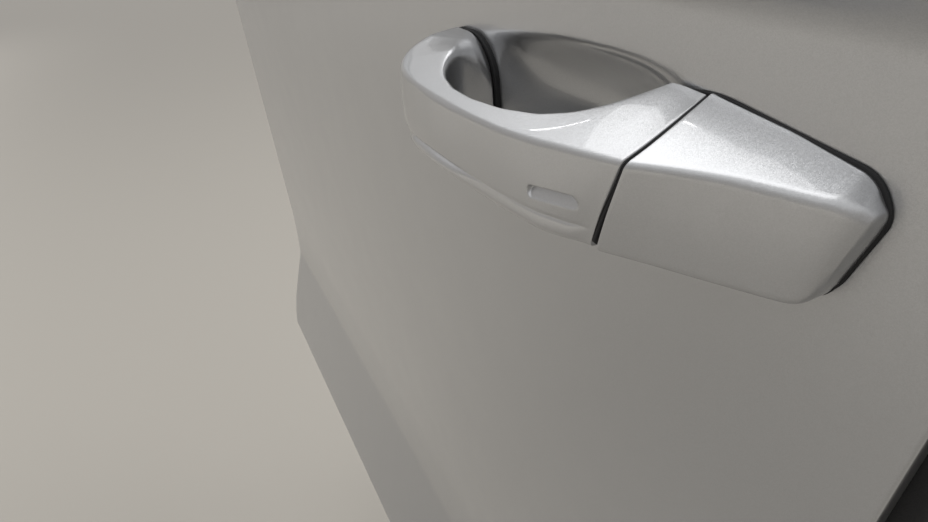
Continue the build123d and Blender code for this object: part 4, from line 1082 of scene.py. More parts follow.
@dataclass
class OuterSkin:
    """The pressed and painted outer panel, with its folded edge and the finger cup."""

    handle: HandleFrame
    cup: FingerCup
    section: Rows = (
        (-46.0, 243, 0), (-78.0, 181, 5), (-66.0, 160, 22), (-66.4, 60, 2500), (-55.0, -330, 700),
        (-58.0, -385, 60), (-96.0, -505, 10), (-90.0, -522, 0),
    )
    outline: Rows = (
        (48.52, -520, 75), (1040.41, -520, 60), (1077.16, -100, 400), (1131.48, 243, 0), (12.54, 243, 0),
    )
    fold: float = 1.4
    hem: float = 5.0
    fine: float = 1.4
    belt: float = 243.0
    sill: float = -520.0
    middle_x: float = 560.0
    front_band: float = 150.0
    fine_x: float = 820.0
    wide_x: float = 900.0
    rear_band: float = 1088.0
    arm_holes: Rows = ((-168, -144, -35, -11), (-25, -8, -35, -11))

    def __post_init__(self) -> None:
        """Samples the section and the outline."""
        self.line = rounded(self.section, 16, 4000, False)[::-1]
        edge = fillet_line(self.outline, 24, True)
        low = int(np.argmin(edge[:, 1] + edge[:, 0] * 1e-6))
        self.edge = spread(np.roll(edge, -low, axis=0), 6000, True)

    def base_y(self, z: np.ndarray) -> np.ndarray:
        """Y of the uncupped skin at heights."""
        return np.interp(z, self.line[:, 1], self.line[:, 0])

    def y(self, x: np.ndarray, z: np.ndarray) -> np.ndarray:
        """Y of the skin at places on it."""
        return self.base_y(z) + self.cup.sink(x - self.handle.x, z - self.handle.z)

    def ends(self, z: float) -> tuple[float, float]:
        """The front and rear x of the grid's row at a height.

        Args:
            z: the height.

        Returns:
            Both, drawn in by the fold.
        """
        z = max(z, float(self.edge[:, 1].min()) + 0.2)
        edge = self.edge[self.edge[:, 1] < BELOW_BELT]
        edge = edge[np.argsort(edge[:, 1], kind="stable")]
        near = edge[:, 0] < self.middle_x
        front, rear = (float(np.interp(z, side[:, 1], side[:, 0])) for side in (edge[near], edge[~near]))
        return front + self.fold, rear - self.fold

    def rows(self) -> np.ndarray:
        """Heights of the grid's rows, from the belt down.

        Returns:
            The heights.
        """
        low = self.sill + self.fold
        spans = (
            (self.belt, 190, 6), (190, 150, 1.6), (150, 52, self.fine), (52, -300, 13), (-300, -420, 6),
            (-420, -444, 5),
        )
        rows = [np.arange(high, end, -step) for high, end, step in spans]
        corner = -445 + (low + 445) * np.sin(np.linspace(0, QUARTER, 34))
        return np.concatenate((*rows, corner))

    def build(self) -> None:
        """Builds the skin."""
        front, rear = self.ends(self.handle.z)
        start, end, wide_x = self.front_band, self.rear_band, self.wide_x
        spans = ((front, front + 8, 2), (front + 8, self.fine_x, 24), (self.fine_x, end, self.fine), (end, rear, 2))
        columns = [np.arange(low, high - step * 0.4, step) for low, high, step in spans]
        columns = np.concatenate((*columns, (rear,)))
        heights = self.rows()
        grid = np.zeros((len(heights), len(columns), 3))
        for i, z in enumerate(heights):
            first, last = self.ends(z)
            near = first + (columns - front) * (start - first) / (start - front)
            held = end + (columns - end) * (last - end) / (rear - end)
            wide = wide_x + (columns - wide_x) * (last - wide_x) / (rear - wide_x)
            share = ease(z, -60, 110)
            far = np.where(columns > end, held, columns) * share
            far += np.where(columns > wide_x, wide, columns) * (1 - share)
            grid[i, :, 0] = np.where(columns < start, near, far)
            grid[i, :, 2] = z
        grid[..., 1] = self.y(grid[..., 0], grid[..., 2])
        count = len(columns)
        faces = grid_faces(len(heights), count)
        middles = np.array([grid.reshape(-1, 3)[list(f)].mean(axis=0) for f in faces])
        a, b = middles[:, 0] - self.handle.x, middles[:, 2] - self.handle.z
        cut = np.zeros(len(faces), bool)
        for low_a, high_a, low_b, high_b in self.arm_holes:
            cut |= (a > low_a) & (a < high_a) & (b > low_b) & (b < high_b)
        faces = [f for f, gone in zip(faces, cut) if not gone]
        points, faces = self.fold_edge(grid, faces)
        piece = make_piece("skin_outer", points, faces)
        self.face_outward(piece)
        settle(piece, "body_paint", Body.DOOR, "outer_skin")

    def fold_edge(self, grid: np.ndarray, faces: Faces) -> Solid:
        """Rolls the grid's edge inboard into a hem.

        Args:
            grid: rows of points.
            faces: the grid's faces.

        Returns:
            All points and all faces.
        """
        rows, count = grid.shape[:2]
        numbers = np.arange(rows * count).reshape(rows, count)
        loop = np.concatenate((numbers[0], numbers[1:, -1], numbers[-1, -2::-1], numbers[-2:0:-1, 0]))
        flat = grid.reshape(-1, 3)
        edge = flat[loop]
        along = np.roll(edge, -1, axis=0) - np.roll(edge, 1, axis=0)
        out = unit(np.stack((-along[:, 2], np.zeros(len(edge)), along[:, 0]), axis=1))
        turns = np.linspace(0, QUARTER, 6)[1:]
        layers = [(self.fold * math.sin(turn), self.fold * (1 - math.cos(turn))) for turn in turns]
        layers += [(self.fold, self.fold + self.hem), (self.fold - 1.2, self.fold + self.hem)]
        points, before = [flat], loop
        for sideways, inboard in layers:
            start = sum(len(p) for p in points)
            points.append(edge + out * sideways + np.array((0, inboard, 0)))
            now = np.arange(start, start + len(loop))
            faces += [tuple(int(v) for v in q) for q in zip(before, np.roll(before, -1), np.roll(now, -1), now)]
            before = now
        return np.vstack(points), faces

    @staticmethod
    def face_outward(piece: Piece) -> None:
        """Turns the sheet's faces so that its broad side looks away from the cabin."""
        if sum(face.normal.y * face.area for face in piece.data.polygons) > 0:
            piece.data.flip_normals()


@dataclass
class PullHandle:
    """The outside handle: a bow grip, the fixed cap behind its seam, and a gasket under each, whose dark band is
    partly painted shadow of the gap.
    """

    handle: HandleFrame
    skin: OuterSkin
    slope: float = 0.55
    rise: float = 0.9
    edge: float = 0.5
    foot_p: float = 2.9
    tip: float = 2.4
    lean: float = 0.0966
    bend_at: float = 11.0
    bend_soft: float = 1.8
    bend_lean: float = 0.335
    foot_sag: Rows = ((1.0, 6.2), (3.0, 5.6), (8.0, 3.4), (13.0, 1.4), (18.0, 0.0))
    # Ridge a, ridge p, inner edge a, inner edge p, lowest b, then radii: ridge, inner top, inner foot, lower outer
    stations: Rows = (
        (-1.1, 28.2, -1.1, 1.0, -49.5, 3.6, 0.6, 2.0, 2.4),
        (-8.0, 29.4, -8.0, 1.0, -49.8, 3.6, 0.6, 2.0, 2.4),
        (-15.5, 30.6, -14.4, 1.0, -50.3, 3.6, 1.0, 3.0, 2.6),
        (-30.5, 32.7, -19.6, 6.3, -51.0, 3.6, 1.6, 4.0, 2.8),
        (-42.0, 34.5, -26.5, 12.6, -51.5, 3.6, 1.8, 5.0, 3.0),
        (-54.0, 36.1, -36.5, 19.4, -51.9, 3.6, 2.0, 5.0, 3.0),
        (-66.0, 37.3, -50.0, 25.2, -52.2, 3.6, 2.0, 5.0, 3.0),
        (-84.0, 38.2, -70.0, 29.5, -52.7, 3.6, 2.0, 4.0, 3.0),
        (-101.0, 38.7, -92.0, 31.2, -53.2, 3.6, 2.0, 3.0, 3.0),
        (-118.5, 38.8, -110.0, 31.0, -53.6, 3.6, 2.0, 3.0, 3.2),
        (-139.5, 38.2, -122.0, 29.5, -54.6, 2.8, 2.0, 3.0, 4.0),
        (-153.0, 37.3, -130.0, 26.4, -54.9, 3.2, 2.2, 4.0, 7.0),
        (-164.0, 35.6, -135.5, 22.0, -54.9, 4.0, 2.6, 6.0, 11.0),
        (-172.0, 32.6, -137.6, 17.6, -54.8, 5.0, 3.6, 8.0, 13.0),
        (-178.0, 28.0, -137.2, 13.6, -54.7, 7.5, 6.0, 9.0, 14.0),
        (-180.8, 21.5, -136.2, 10.0, -54.5, 11.0, 10.0, 10.0, 15.0),
        (-181.6, 14.5, -135.0, 6.8, -54.2, 13.5, 13.0, 11.0, 15.0),
        (-181.8, 8.0, -134.4, 4.5, -54.0, 14.5, 18.0, 12.0, 15.0),
        (-181.8, 2.9, -134.0, 2.9, -54.0, 15.0, 22.0, 12.0, 15.0),
    )
    # Recess: a, b, length, radius, tilt, depth
    recess: Row = (-33.0, -35.6, 19.6, 2.4, 7.5, 2.6)
    # Upper edge of the cap: a, b. Ridge: p. Lower edge: a, b. One row for each station
    cap_top: Rows = ((1.1, 0.5, 0), (30, -2.6, 120), (53.2, -6.4, 15), (57.6, -12.4, 0))
    cap_low: Rows = ((-14.0, -49.3, 0), (18, -46.3, 80), (46.0, -43.3, 8), (49.9, -36.3, 0))
    cap_height: Rows = (
        (0.0, 28.0), (0.2, 23.4), (0.4, 19.2), (0.6, 15.2), (0.8, 11.2), (0.89, 8.8), (0.95, 6.8), (1.0, 4.6),
    )
    # Arms behind the grip: lowest a, highest a, lowest p
    arms: Rows = ((-160.0, -147.0, -27.0), (-20.0, -11.0, -44.0))
    # Gasket outlines: partly the real rubber and partly painted shadow, widened so that the black band also covers
    # the shadow of the gap round the foot and the cap.
    under_front: Rows = ((-180.6, -53, 15), (-132.4, -53, 12), (-132.0, -5.4, 25), (-180.6, -7, 14))
    under_rear: Rows = (
        (-12, -47.4, 4), (45.4, -43.5, 9), (50.8, -35.9, 8), (59.9, -14.6, 8), (54.8, -5.4, 14),
        (2, 1.1, 60), (-12, -0.9, 2),
    )

    def shear(self, b: np.ndarray) -> np.ndarray:
        """How far the seam leans forward at a height below its top.

        Args:
            b: heights, negative below the top.

        Returns:
            The lean, negative forward.
        """
        drop = np.maximum(-b, 0)
        bend = np.logaddexp(0, (drop - self.bend_at) / self.bend_soft) * self.bend_soft
        return -self.lean * drop - self.bend_lean * bend

    def grip_rings(self) -> np.ndarray:
        """Sections of the grip from the seam round the bow to its foot.

        Returns:
            An array of sections, each with the same number of (a, p, b) points.
        """
        table = np.array(self.stations)
        along = running(sum(np.linalg.norm(np.diff(table[:, k:k + 2], axis=0), axis=1) for k in (0, 2)))
        count = 900
        at = np.linspace(0, along[-1], count)
        table = between(at, along, table)
        split = int(np.searchsorted(at, along[2]))
        table = np.vstack((fair(table[: split + 1], 4000.0)[:-1], fair(table[split:], 14000.0)))
        ways = np.arange(count) / count
        kept = (np.arange(count) % 4 == 0) | ((table[:, 0] < -17) & (table[:, 0] > -51))
        kept[[0, -1]] = True
        rings = []
        for way, (oa, op, ia, ip, low, r_ridge, r_inner, r_foot, r_low) in zip(ways[kept], table[kept]):
            width = math.hypot(oa - ia, op - ip)
            step = np.array((oa - ia, op - ip)) / width
            drop = ease(way, 0.05, 0.25) * 5.0
            foot = ease(way, 0.78, 0.2)
            lift = 0.9 * ease(way, 0.0, 0.08) * (1 - ease(way, 0.08, 0.2))
            sags = np.interp((op, ip), *np.array(self.foot_sag).T) * foot
            corners = np.array((
                (width, self.rise - self.slope * op - sags[0]),
                (width, low),
                (0.9 + 1.5 * (1 - foot), low + drop * (1 - foot) + 1.0),
                (0.0, self.rise + lift - self.slope * ip - sags[1]),
            ))
            flat = ring(corners, (r_ridge, r_low, r_foot, r_inner), 8, (88, 8, 16, 10))
            q, b = flat[:, 0].copy(), flat[:, 1]
            high = corners[0][1]
            level = np.clip((high - b) / (high - low), 0, 1)
            outer = ease(q, 0.7 * width, 0.25 * width) * (1 - foot)
            nose = 0.3 * ease(way, 0.0, 0.06) + 0.7 * ease(way, 0.36, 0.2)
            q += (0.8 + 1.2 * nose) * np.sin(math.pi * level) * outer
            q -= 0.8 * nose * hump(b - low, 8.0, 0.7) * outer
            bead = 3.2 * nose * np.clip(1 - ((b - low - 3.2) / 4.4) ** 2, 0, 1) * outer
            q += bead - 0.5 * nose * outer * (b < low + 8.0)
            near_seam = (1 - ease(way, 0.0, 0.20))
            points = np.stack((ia + step[0] * q + self.shear(b) * near_seam, ip + step[1] * q, b), axis=1)
            sunk = self.skin.cup.sink(points[:, 0], points[:, 2])
            points[:, 1] -= sunk * np.clip((self.foot_p + 8 - points[:, 1]) / 8, 0, 1) * foot
            rings.append(points)
        return np.array(rings)

    def close_at_seam(self, section: np.ndarray, side: float) -> np.ndarray:
        """Small rounded sections that close a piece at the seam.

        Args:
            section: the piece's section at the seam, as (a, p, b) points.
            side: which way the piece ends, 1 rearward or -1 forward.

        Returns:
            More sections, from the given one to the flat end.
        """
        middle = section.mean(axis=0)
        arrows = spokes(section, 0)
        added = []
        for turn in np.linspace(0, QUARTER, 5)[1:]:
            inward = self.edge * (1 - math.cos(turn))
            moved = section - arrows * inward
            moved[:, 0] += side * self.edge * math.sin(turn)
            added.append(moved)
        for share in (0.6, 0.2):
            moved = added[3].copy()
            moved[:, 1:] = middle[1:] + (moved[:, 1:] - middle[1:]) * share
            moved[:, 0] += self.shear(moved[:, 2]) - self.shear(added[3][:, 2])
            added.append(moved)
        return np.array(added)

    def press_recess(self, rows: np.ndarray) -> np.ndarray:
        """Sinks the long recess into the grip's outer face.

        Args:
            rows: sections of (a, p, b) points.

        Returns:
            The same sections with the recess in them.
        """
        a, b, length, radius, tilt, depth = self.recess
        lean = math.radians(tilt)
        along = (rows[..., 0] - a) * math.cos(lean) + (rows[..., 2] - b) * math.sin(lean)
        off = -(rows[..., 0] - a) * math.sin(lean) + (rows[..., 2] - b) * math.cos(lean)
        far = np.hypot(along - np.clip(along, -length / 2, length / 2), off)
        scoop = 0.06 + 0.94 * np.clip((off / radius + 1) / 2, 0, 1)
        sunk = depth * scoop * (1 - ease(far - radius + 0.45, 0, 0.7))
        rows = rows.copy()
        rows[..., 1] -= np.where(rows[..., 1] > 26, sunk, 0)
        return rows

    def grip(self) -> None:
        """Builds the grip with its two arms."""
        rings = self.press_recess(self.grip_rings())
        seam = self.close_at_seam(rings[0], 1.0)[::-1]
        arrows = spokes(rings[-1], 1)
        sole = [
            rings[-1] - arrows * inward - np.array((0.0, down, 0.0))
            for inward, down in ((0.25, 0.3), (0.6, 0.55), (1.2, 0.7), (12.0, 0.7))
        ]
        parts = [layered(self.handle.points(np.concatenate((seam, rings, np.array(sole)))))]
        box = [(0, 1, 2, 3), (7, 6, 5, 4), (0, 4, 5, 1), (1, 5, 6, 2), (2, 6, 7, 3), (3, 7, 4, 0)]
        for low_a, high_a, low_p in self.arms:
            around = ((low_a, -32), (high_a, -32), (high_a, -14), (low_a, -14))
            corners = np.array([(a, p, b) for p in (low_p, 3.0) for a, b in around])
            parts.append((self.handle.points(corners), box))
        settle(make_piece("grip_bow", *gather(parts)), "handle_paint", Body.GRIP, "handle_grip")

    def cap_rings(self) -> np.ndarray:
        """Sections of the cap from the seam to its rear edge.

        Returns:
            An array of sections, each with the same number of (a, p, b) points.
        """
        count = 120
        share = 1 - (1 - np.linspace(0, 1, count)) ** 1.7
        lines = (rounded(rows, 16, 600, False) for rows in (self.cap_top, self.cap_low))
        top, low = (between(share, np.linspace(0, 1, 600), line) for line in lines)
        height = np.interp(share, *np.array(self.cap_height).T)
        height = fair(height[:, None], 300.0)[:, 0]
        roll = np.sqrt(np.clip(1 - np.clip((share - 0.976) / 0.024, 0, 1) ** 2, 0, 1))
        rings = []
        for i in range(count):
            p = height[i] * roll[i] + 0.3
            top_b, low_b = top[i, 1], low[i, 1]
            ridge_b = top_b - self.slope * max(p - 1.2, 0.05)
            ridge_b = max(ridge_b, low_b + 4)
            corners = np.array((
                (-0.8, top_b), (1.2 * roll[i] + 0.02, top_b), (p, ridge_b), (p * 1.012, low_b), (-0.8, low_b + 0.6),
            ))
            flat = ring(corners, (0, 0.5, 3.8 + 0.6 * share[i], 3.0, 0), 9, (3, 18, 36, 8), False)
            p_line, b_line = flat[:, 0], flat[:, 1]
            level = np.clip((ridge_b - b_line) / (ridge_b - low_b), 0, 1)
            p_line = p_line + 0.7 * np.sin(math.pi * level) * roll[i] * (p_line > 0.6 * p)
            down = np.clip((top_b - b_line) / (top_b - low_b), 0, 1)
            straight = top[i, 0] + (low[i, 0] - top[i, 0]) * down
            leaning = self.shear(b_line) - self.shear(np.array(low_b)) * down
            bent = straight + leaning * (1 - ease(share[i], 0.0, 0.5))
            bent += self.tip * ease(share[i], 0.7, 0.3) * (1 - np.exp(-12 * down)) * (1 - down)
            rings.append(np.stack((bent, p_line, b_line), axis=1))
        return np.array(rings)

    def cap(self) -> None:
        """Builds the cap."""
        rings = self.cap_rings()
        rings = np.concatenate((self.close_at_seam(rings[0], -1.0)[::-1], rings))
        piece = make_piece("cap_rear", *layered(self.handle.points(rings), last=False))
        settle(piece, "handle_paint", Body.DOOR, "handle_cap")

    def seam_shade_strip(self) -> None:
        """Builds a black strip down in the seam between grip and cap: a dark sheet put in the gap as painted shade,
        standing in for the shade inside the seam.
        """
        section = self.cap_rings()[0]
        arrows = spokes(section, 0)
        rows = []
        for inward, a in ((4.0, -0.9), (1.3, -0.9), (1.3, 0.9), (4.0, 0.9)):
            moved = section - arrows * inward
            moved[:, 0] = self.shear(moved[:, 2]) + a
            rows.append(moved)
        # The strip's black stands in for the shade inside the seam: painted shade.
        settle(make_piece("seam_shade_strip", *layered(self.handle.points(np.array(rows)))), "seal_rubber", Body.DOOR)

    def gasket(self, name: str, node: str, outline: Rows, high: float) -> None:
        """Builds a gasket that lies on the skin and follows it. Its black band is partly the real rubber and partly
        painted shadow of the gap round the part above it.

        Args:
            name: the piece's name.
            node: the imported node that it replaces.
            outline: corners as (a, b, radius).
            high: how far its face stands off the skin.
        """
        line = rounded(outline, 10, 200)
        middle = line.mean(axis=0)
        layers = [(1.0, -0.3), (1.0, high - 0.45), (0.997, high - 0.2), (0.99, high - 0.05), (0.975, high)]
        layers += [(s, high) for s in (0.93, 0.86, 0.78, 0.7, 0.55, 0.4, 0.2, 0.05)]
        rows = []
        for scale, p in layers:
            flat = middle + (line - middle) * scale
            sunk = self.skin.cup.sink(flat[:, 0], flat[:, 1])
            rows.append(lifted(flat, 1, p - sunk))
        piece = make_piece(name, *layered(self.handle.points(np.array(rows)), first=False))
        settle(piece, "seal_rubber", Body.DOOR, node)

    def build(self) -> None:
        """Builds the grip, the cap, the black strip of painted shade in their seam and both gaskets, whose dark
        bands are partly painted shadow of the gaps.
        """
        self.grip()
        self.cap()
        self.seam_shade_strip()
        self.gasket("gasket_and_shade_front", "handle_front_gasket", self.under_front, 2.1)
        self.gasket("gasket_and_shade_rear", "handle_rear_gasket", self.under_rear, 0.8)


@dataclass
class GapSealAndShade:
    """The rubber lip along the door's rear edge, which closes the gap to the next panel. Partly a real seal and
    partly a dark sheet standing in for the shade of the shut gap: painted shade.
    """

    skin: OuterSkin
    lip: Rows = ((-4.0, 8.2, 1.0), (6.6, 9.0, 1.6), (7.4, 13.6, 1.6), (-4.0, 14.4, 1.0))

    def build(self) -> None:
        """Sweeps the lip from the belt to the lower corner."""
        section = rounded(self.lip, 5, 28)
        rings = []
        for z in np.linspace(238, -452, 140):
            edge = self.skin.ends(z)[1] + self.skin.fold
            y = float(self.skin.base_y(np.array(z)))
            rings.append(lifted(section + np.array((edge, y)), 2, z))
        # Black lip, partly a real seal and partly painted shade of the shut gap.
        settle(make_piece("gap_seal_and_shade", *layered(rings)), "seal_rubber", Body.DOOR)


# The mirror


@dataclass
class Mirror:
    """The outside mirror: a painted shell over a black lower cover, and the turn lamp's lens on its outer side."""

    outline: Rows = (
        (-58, 282, 16), (-70, 276, 10), (-227, 284, 34), (-243, 360, 90), (-227, 416, 38), (-94, 406, 46),
        (-58, 346, 60),
    )
    middle: Row = (-152.0, 348.0)
    rear_x: float = 209.6
    depth: float = 88.0
    boxy: float = 2.45
    # Rim: how far inward, how far ahead of the rear face
    rim: Rows = (
        (0.35, 1.2), (1.2, 0.35), (2.6, 0.0), (5.0, 0.0), (6.2, 0.35), (7.0, 1.2), (7.3, 2.6), (7.4, 8.0),
        (7.4, 14.6),
    )
    around: int = 220

    def __post_init__(self) -> None:
        """Spreads points round the outline."""
        self.line = rounded(self.outline, 12, self.around)

    def shell(self, turn: float) -> np.ndarray:
        """A ring of the shell.

        Args:
            turn: from 0 at the rim to a quarter turn at the nose.

        Returns:
            The ring's points.
        """
        near, far = math.cos(turn) ** (2 / self.boxy), math.sin(turn) ** (2 / self.boxy)
        flat = np.array(self.middle) + (self.line - np.array(self.middle)) * near
        deep = self.depth - 2.6 - 0.09 * np.clip(flat[:, 0] + 192, 0, None)
        bulge = 1 - 0.06 * (1 - near) * np.clip((flat[:, 1] - self.middle[1]) / 60, -1, 1)
        return np.stack((self.rear_x - 2.6 - deep * far * bulge, flat[:, 0], flat[:, 1]), axis=1)

    def half(self, name: str, slot: str, side: float, *stands_for: str) -> None:
        """Builds what lies above or below the joint line.

        Args:
            name: the piece's name.
            slot: its material slot.
            side: 1 for the upper part, -1 for the lower.
            *stands_for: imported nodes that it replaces.
        """
        turns = (QUARTER * (1 - (1 - k / 46) ** 1.35) for k in range(46, -1, -1))
        layers = [self.shell(turn) for turn in turns]
        for inward, ahead in self.rim:
            flat = inset(self.line, inward)
            layers.append(lifted(flat, 0, self.rear_x - ahead))
        piece = make_piece(name, *layered(layers))
        carve(piece, turned(((-8.0, 8.8, 0), (16.0, 8.8, 0)), (168, -78, 276), (0, 0, 1)))
        work = bmesh.new()
        work.from_mesh(piece.data)
        normal = Vector((0.16, 0.05, 1.0)).normalized()
        at = Vector((0.165, -0.150, 0.306)) + normal * side * 0.0005
        whole = work.verts[:] + work.edges[:] + work.faces[:]
        cut = bmesh.ops.bisect_plane(work, geom=whole, plane_co=at, plane_no=normal * side, clear_inner=True)
        edges = [e for e in cut["geom_cut"] if isinstance(e, bmesh.types.BMEdge)]
        bmesh.ops.triangle_fill(work, edges=edges, use_beauty=True)
        bmesh.ops.recalc_face_normals(work, faces=work.faces)
        work.to_mesh(piece.data)
        work.free()
        piece.data.set_sharp_from_angle(angle=SHARP)
        settle(piece, slot, Body.MIRROR, *stands_for)

    def lens(self) -> None:
        """Builds the turn lamp's lens, a band that follows the shell and narrows forward."""
        chosen = np.flatnonzero((self.line[:, 0] < -200) & (self.line[:, 1] > 322) & (self.line[:, 1] < 343))
        turns = np.linspace(0.10, 1.22, 40)
        rings = np.array([self.shell(t) for t in turns])
        along = np.roll(rings, -1, axis=1) - np.roll(rings, 1, axis=1)
        ahead = np.gradient(rings, axis=0)
        facing = unit(np.cross(along, ahead))
        if float((facing[:, chosen, 1]).mean()) > 0:
            facing = -facing
        share = np.linspace(-1, 1, len(chosen))[None, :]
        reach = np.linspace(-1, 1, len(turns))[:, None]
        edge = np.maximum(np.abs(share) ** 6, np.abs(reach) ** 14)
        raised = 0.9 - 1.7 * edge
        band = rings[:, chosen] + facing[:, chosen] * raised[..., None]
        faces = grid_faces(len(turns), len(chosen))
        settle(make_piece("turn_lens", band.reshape(-1, 3), faces), "gloss_black", Body.MIRROR)

    def build(self) -> None:
        """Builds the shell, the lower cover and the lens."""
        self.half("mirror_shell", "mirror_paint", 1.0, "mirror_housing")
        self.half("mirror_cover", "black_trim", -1.0)
        self.lens()


# The cabin side


class Lie(Enum):
    """Which way a pad lies."""

    FLAT = "flat"
    UPRIGHT = "upright"


@dataclass
class Pad:
    """A stuffed leather pad, swollen with cloth under pressure and then sewn."""

    name: str
    outline: Rows
    base: float
    thick: float
    crown: float
    lie: Lie
    seams: tuple[np.ndarray, ...]
    fill: float = 0.8
    voxel: float = 3.2
    cap: float = 2.6
    seam_depth: float = 1.5
    seam_width: float = 1.5
    slot: str = "armrest_leather"

    def place(self, u: np.ndarray, v: np.ndarray, h: np.ndarray) -> np.ndarray:
        """Turns places on the pad into points of the door's frame.

        Args:
            u: places along the pad.
            v: places across it.
            h: heights above its base.

        Returns:
            The points.
        """
        u, v, h = np.broadcast_arrays(u, v, h)
        columns = (u, v, self.base + h) if self.lie is Lie.FLAT else (u, self.base + h, v)
        return np.stack(columns, axis=-1).astype(float)

    def read(self, points: np.ndarray) -> tuple[np.ndarray, np.ndarray, np.ndarray]:
        """Turns points of the door's frame into places on the pad and heights."""
        second, third = (1, 2) if self.lie is Lie.FLAT else (2, 1)
        return points[:, 0], points[:, second], points[:, third] - self.base

    def slab(self) -> Piece:
        """Builds the flat stuffed slab that the pad starts from.

        Returns:
            The slab's object.
        """
        line = rounded(self.outline, 10, 160)
        middle = line.mean(axis=0)
        edge = inset(line, 3.2)
        rows = [(inset(line, 1.6), 0.2), (inset(line, 0.8), 0.35 * self.thick), (inset(line, 1.4), 0.7 * self.thick)]
        rows.append((edge, self.thick))
        for share in (0.92, 0.8, 0.6, 0.4, 0.2, 0.05):
            rows.append((middle + (edge - middle) * share, self.thick + self.crown * (1 - share ** 2)))
        return make_piece(self.name, *layered([self.place(flat[:, 0], flat[:, 1], h) for flat, h in rows]))

    def swell(self, piece: Piece) -> None:
        """Blows the slab up as cloth, with its underside held and each point's way capped.

        Args:
            piece: the slab, remeshed.
        """
        start = mesh_points(piece.data)
        _, _, height = self.read(start / MM)
        held = piece.vertex_groups.new(name="held")
        held.add([int(v) for v in np.flatnonzero(height < 0.25 * self.thick)], 1.0, "REPLACE")
        cloth = piece.modifiers.new("cloth", "CLOTH")
        cloth.settings.quality = 6
        cloth.settings.mass = 0.3
        cloth.settings.use_pressure = True
        cloth.settings.uniform_pressure_force = 4.0
        cloth.settings.vertex_group_mass = "held"
        cloth.settings.effector_weights.gravity = 0
        cloth.point_cache.frame_start, cloth.point_cache.frame_end = 1, 20
        scene = bpy.context.scene
        for step in range(1, 21):
            scene.frame_set(step)
        moved = mesh_points(piece.evaluated_get(bpy.context.evaluated_depsgraph_get()).data) - start
        far = np.linalg.norm(moved, axis=1)[:, None]
        moved *= np.minimum(1, self.cap * MM / np.maximum(far, 1e-9))
        piece.modifiers.clear()
        piece.vertex_groups.clear()
        scene.frame_set(1)
        move_points(piece.data, start + moved)
        log.info("%s: swollen by up to %.1f mm", self.name, float(np.linalg.norm(moved, axis=1).max() / MM))

    def sew(self, piece: Piece) -> None:
        """Draws the seams into the pad.

        Args:
            piece: the pad.
        """
        u, v, h = self.read(mesh_points(piece.data) / MM)
        near = np.full(len(u), 1e9)
        for line in self.seams:
            for a, b in spread(line, 420):
                near = np.minimum(near, (u - a) ** 2 + (v - b) ** 2)
        pulled = self.seam_depth * np.exp(-near / self.seam_width ** 2)
        pulled += 0.35 * self.seam_depth * np.exp(-near / (4 * self.seam_width) ** 2)
        h = h - pulled * ease(h, 0.4 * self.thick, 0.4 * self.thick)
        move_points(piece.data, self.place(u, v, h) * MM)

    def thread(self, piece: Piece) -> None:
        """Sews a row of stitches along each side of each seam.

        Args:
            piece: the finished pad.
        """
        surface = surface_of(piece)
        parts = []
        for line in self.seams:
            dense = spread(line, int(np.linalg.norm(np.diff(line, axis=0), axis=1).sum() / 5.0))
            ahead = unit(np.gradient(dense, axis=0))
            for side in (-2.3, 2.3):
                flat = dense + np.stack((-ahead[:, 1], ahead[:, 0]), axis=1) * side
                starts = self.place(flat[:, 0], flat[:, 1], 60.0)
                way = (0.0, 0.0, -1.0) if self.lie is Lie.FLAT else (0.0, -1.0, 0.0)
                row = [hit for hit in (landing(surface, tuple(s), way) for s in starts) if hit is not None]
                parts.append(stitches(row, 3.3, 0.42))
        settle(make_piece(f"{self.name}_thread", *gather(parts)), "satin_plastic", Body.DOOR)

    def build(self) -> None:
        """Builds the pad and its thread."""
        piece = self.slab()
        modified(piece, REMESH={"mode": "VOXEL", "voxel_size": self.voxel * MM})
        self.swell(piece)
        modified(piece, SUBSURF={"levels": 2, "render_levels": 2})
        shade_smooth(piece.data)
        self.sew(piece)
        settle(piece, self.slot, Body.DOOR)
        self.thread(piece)


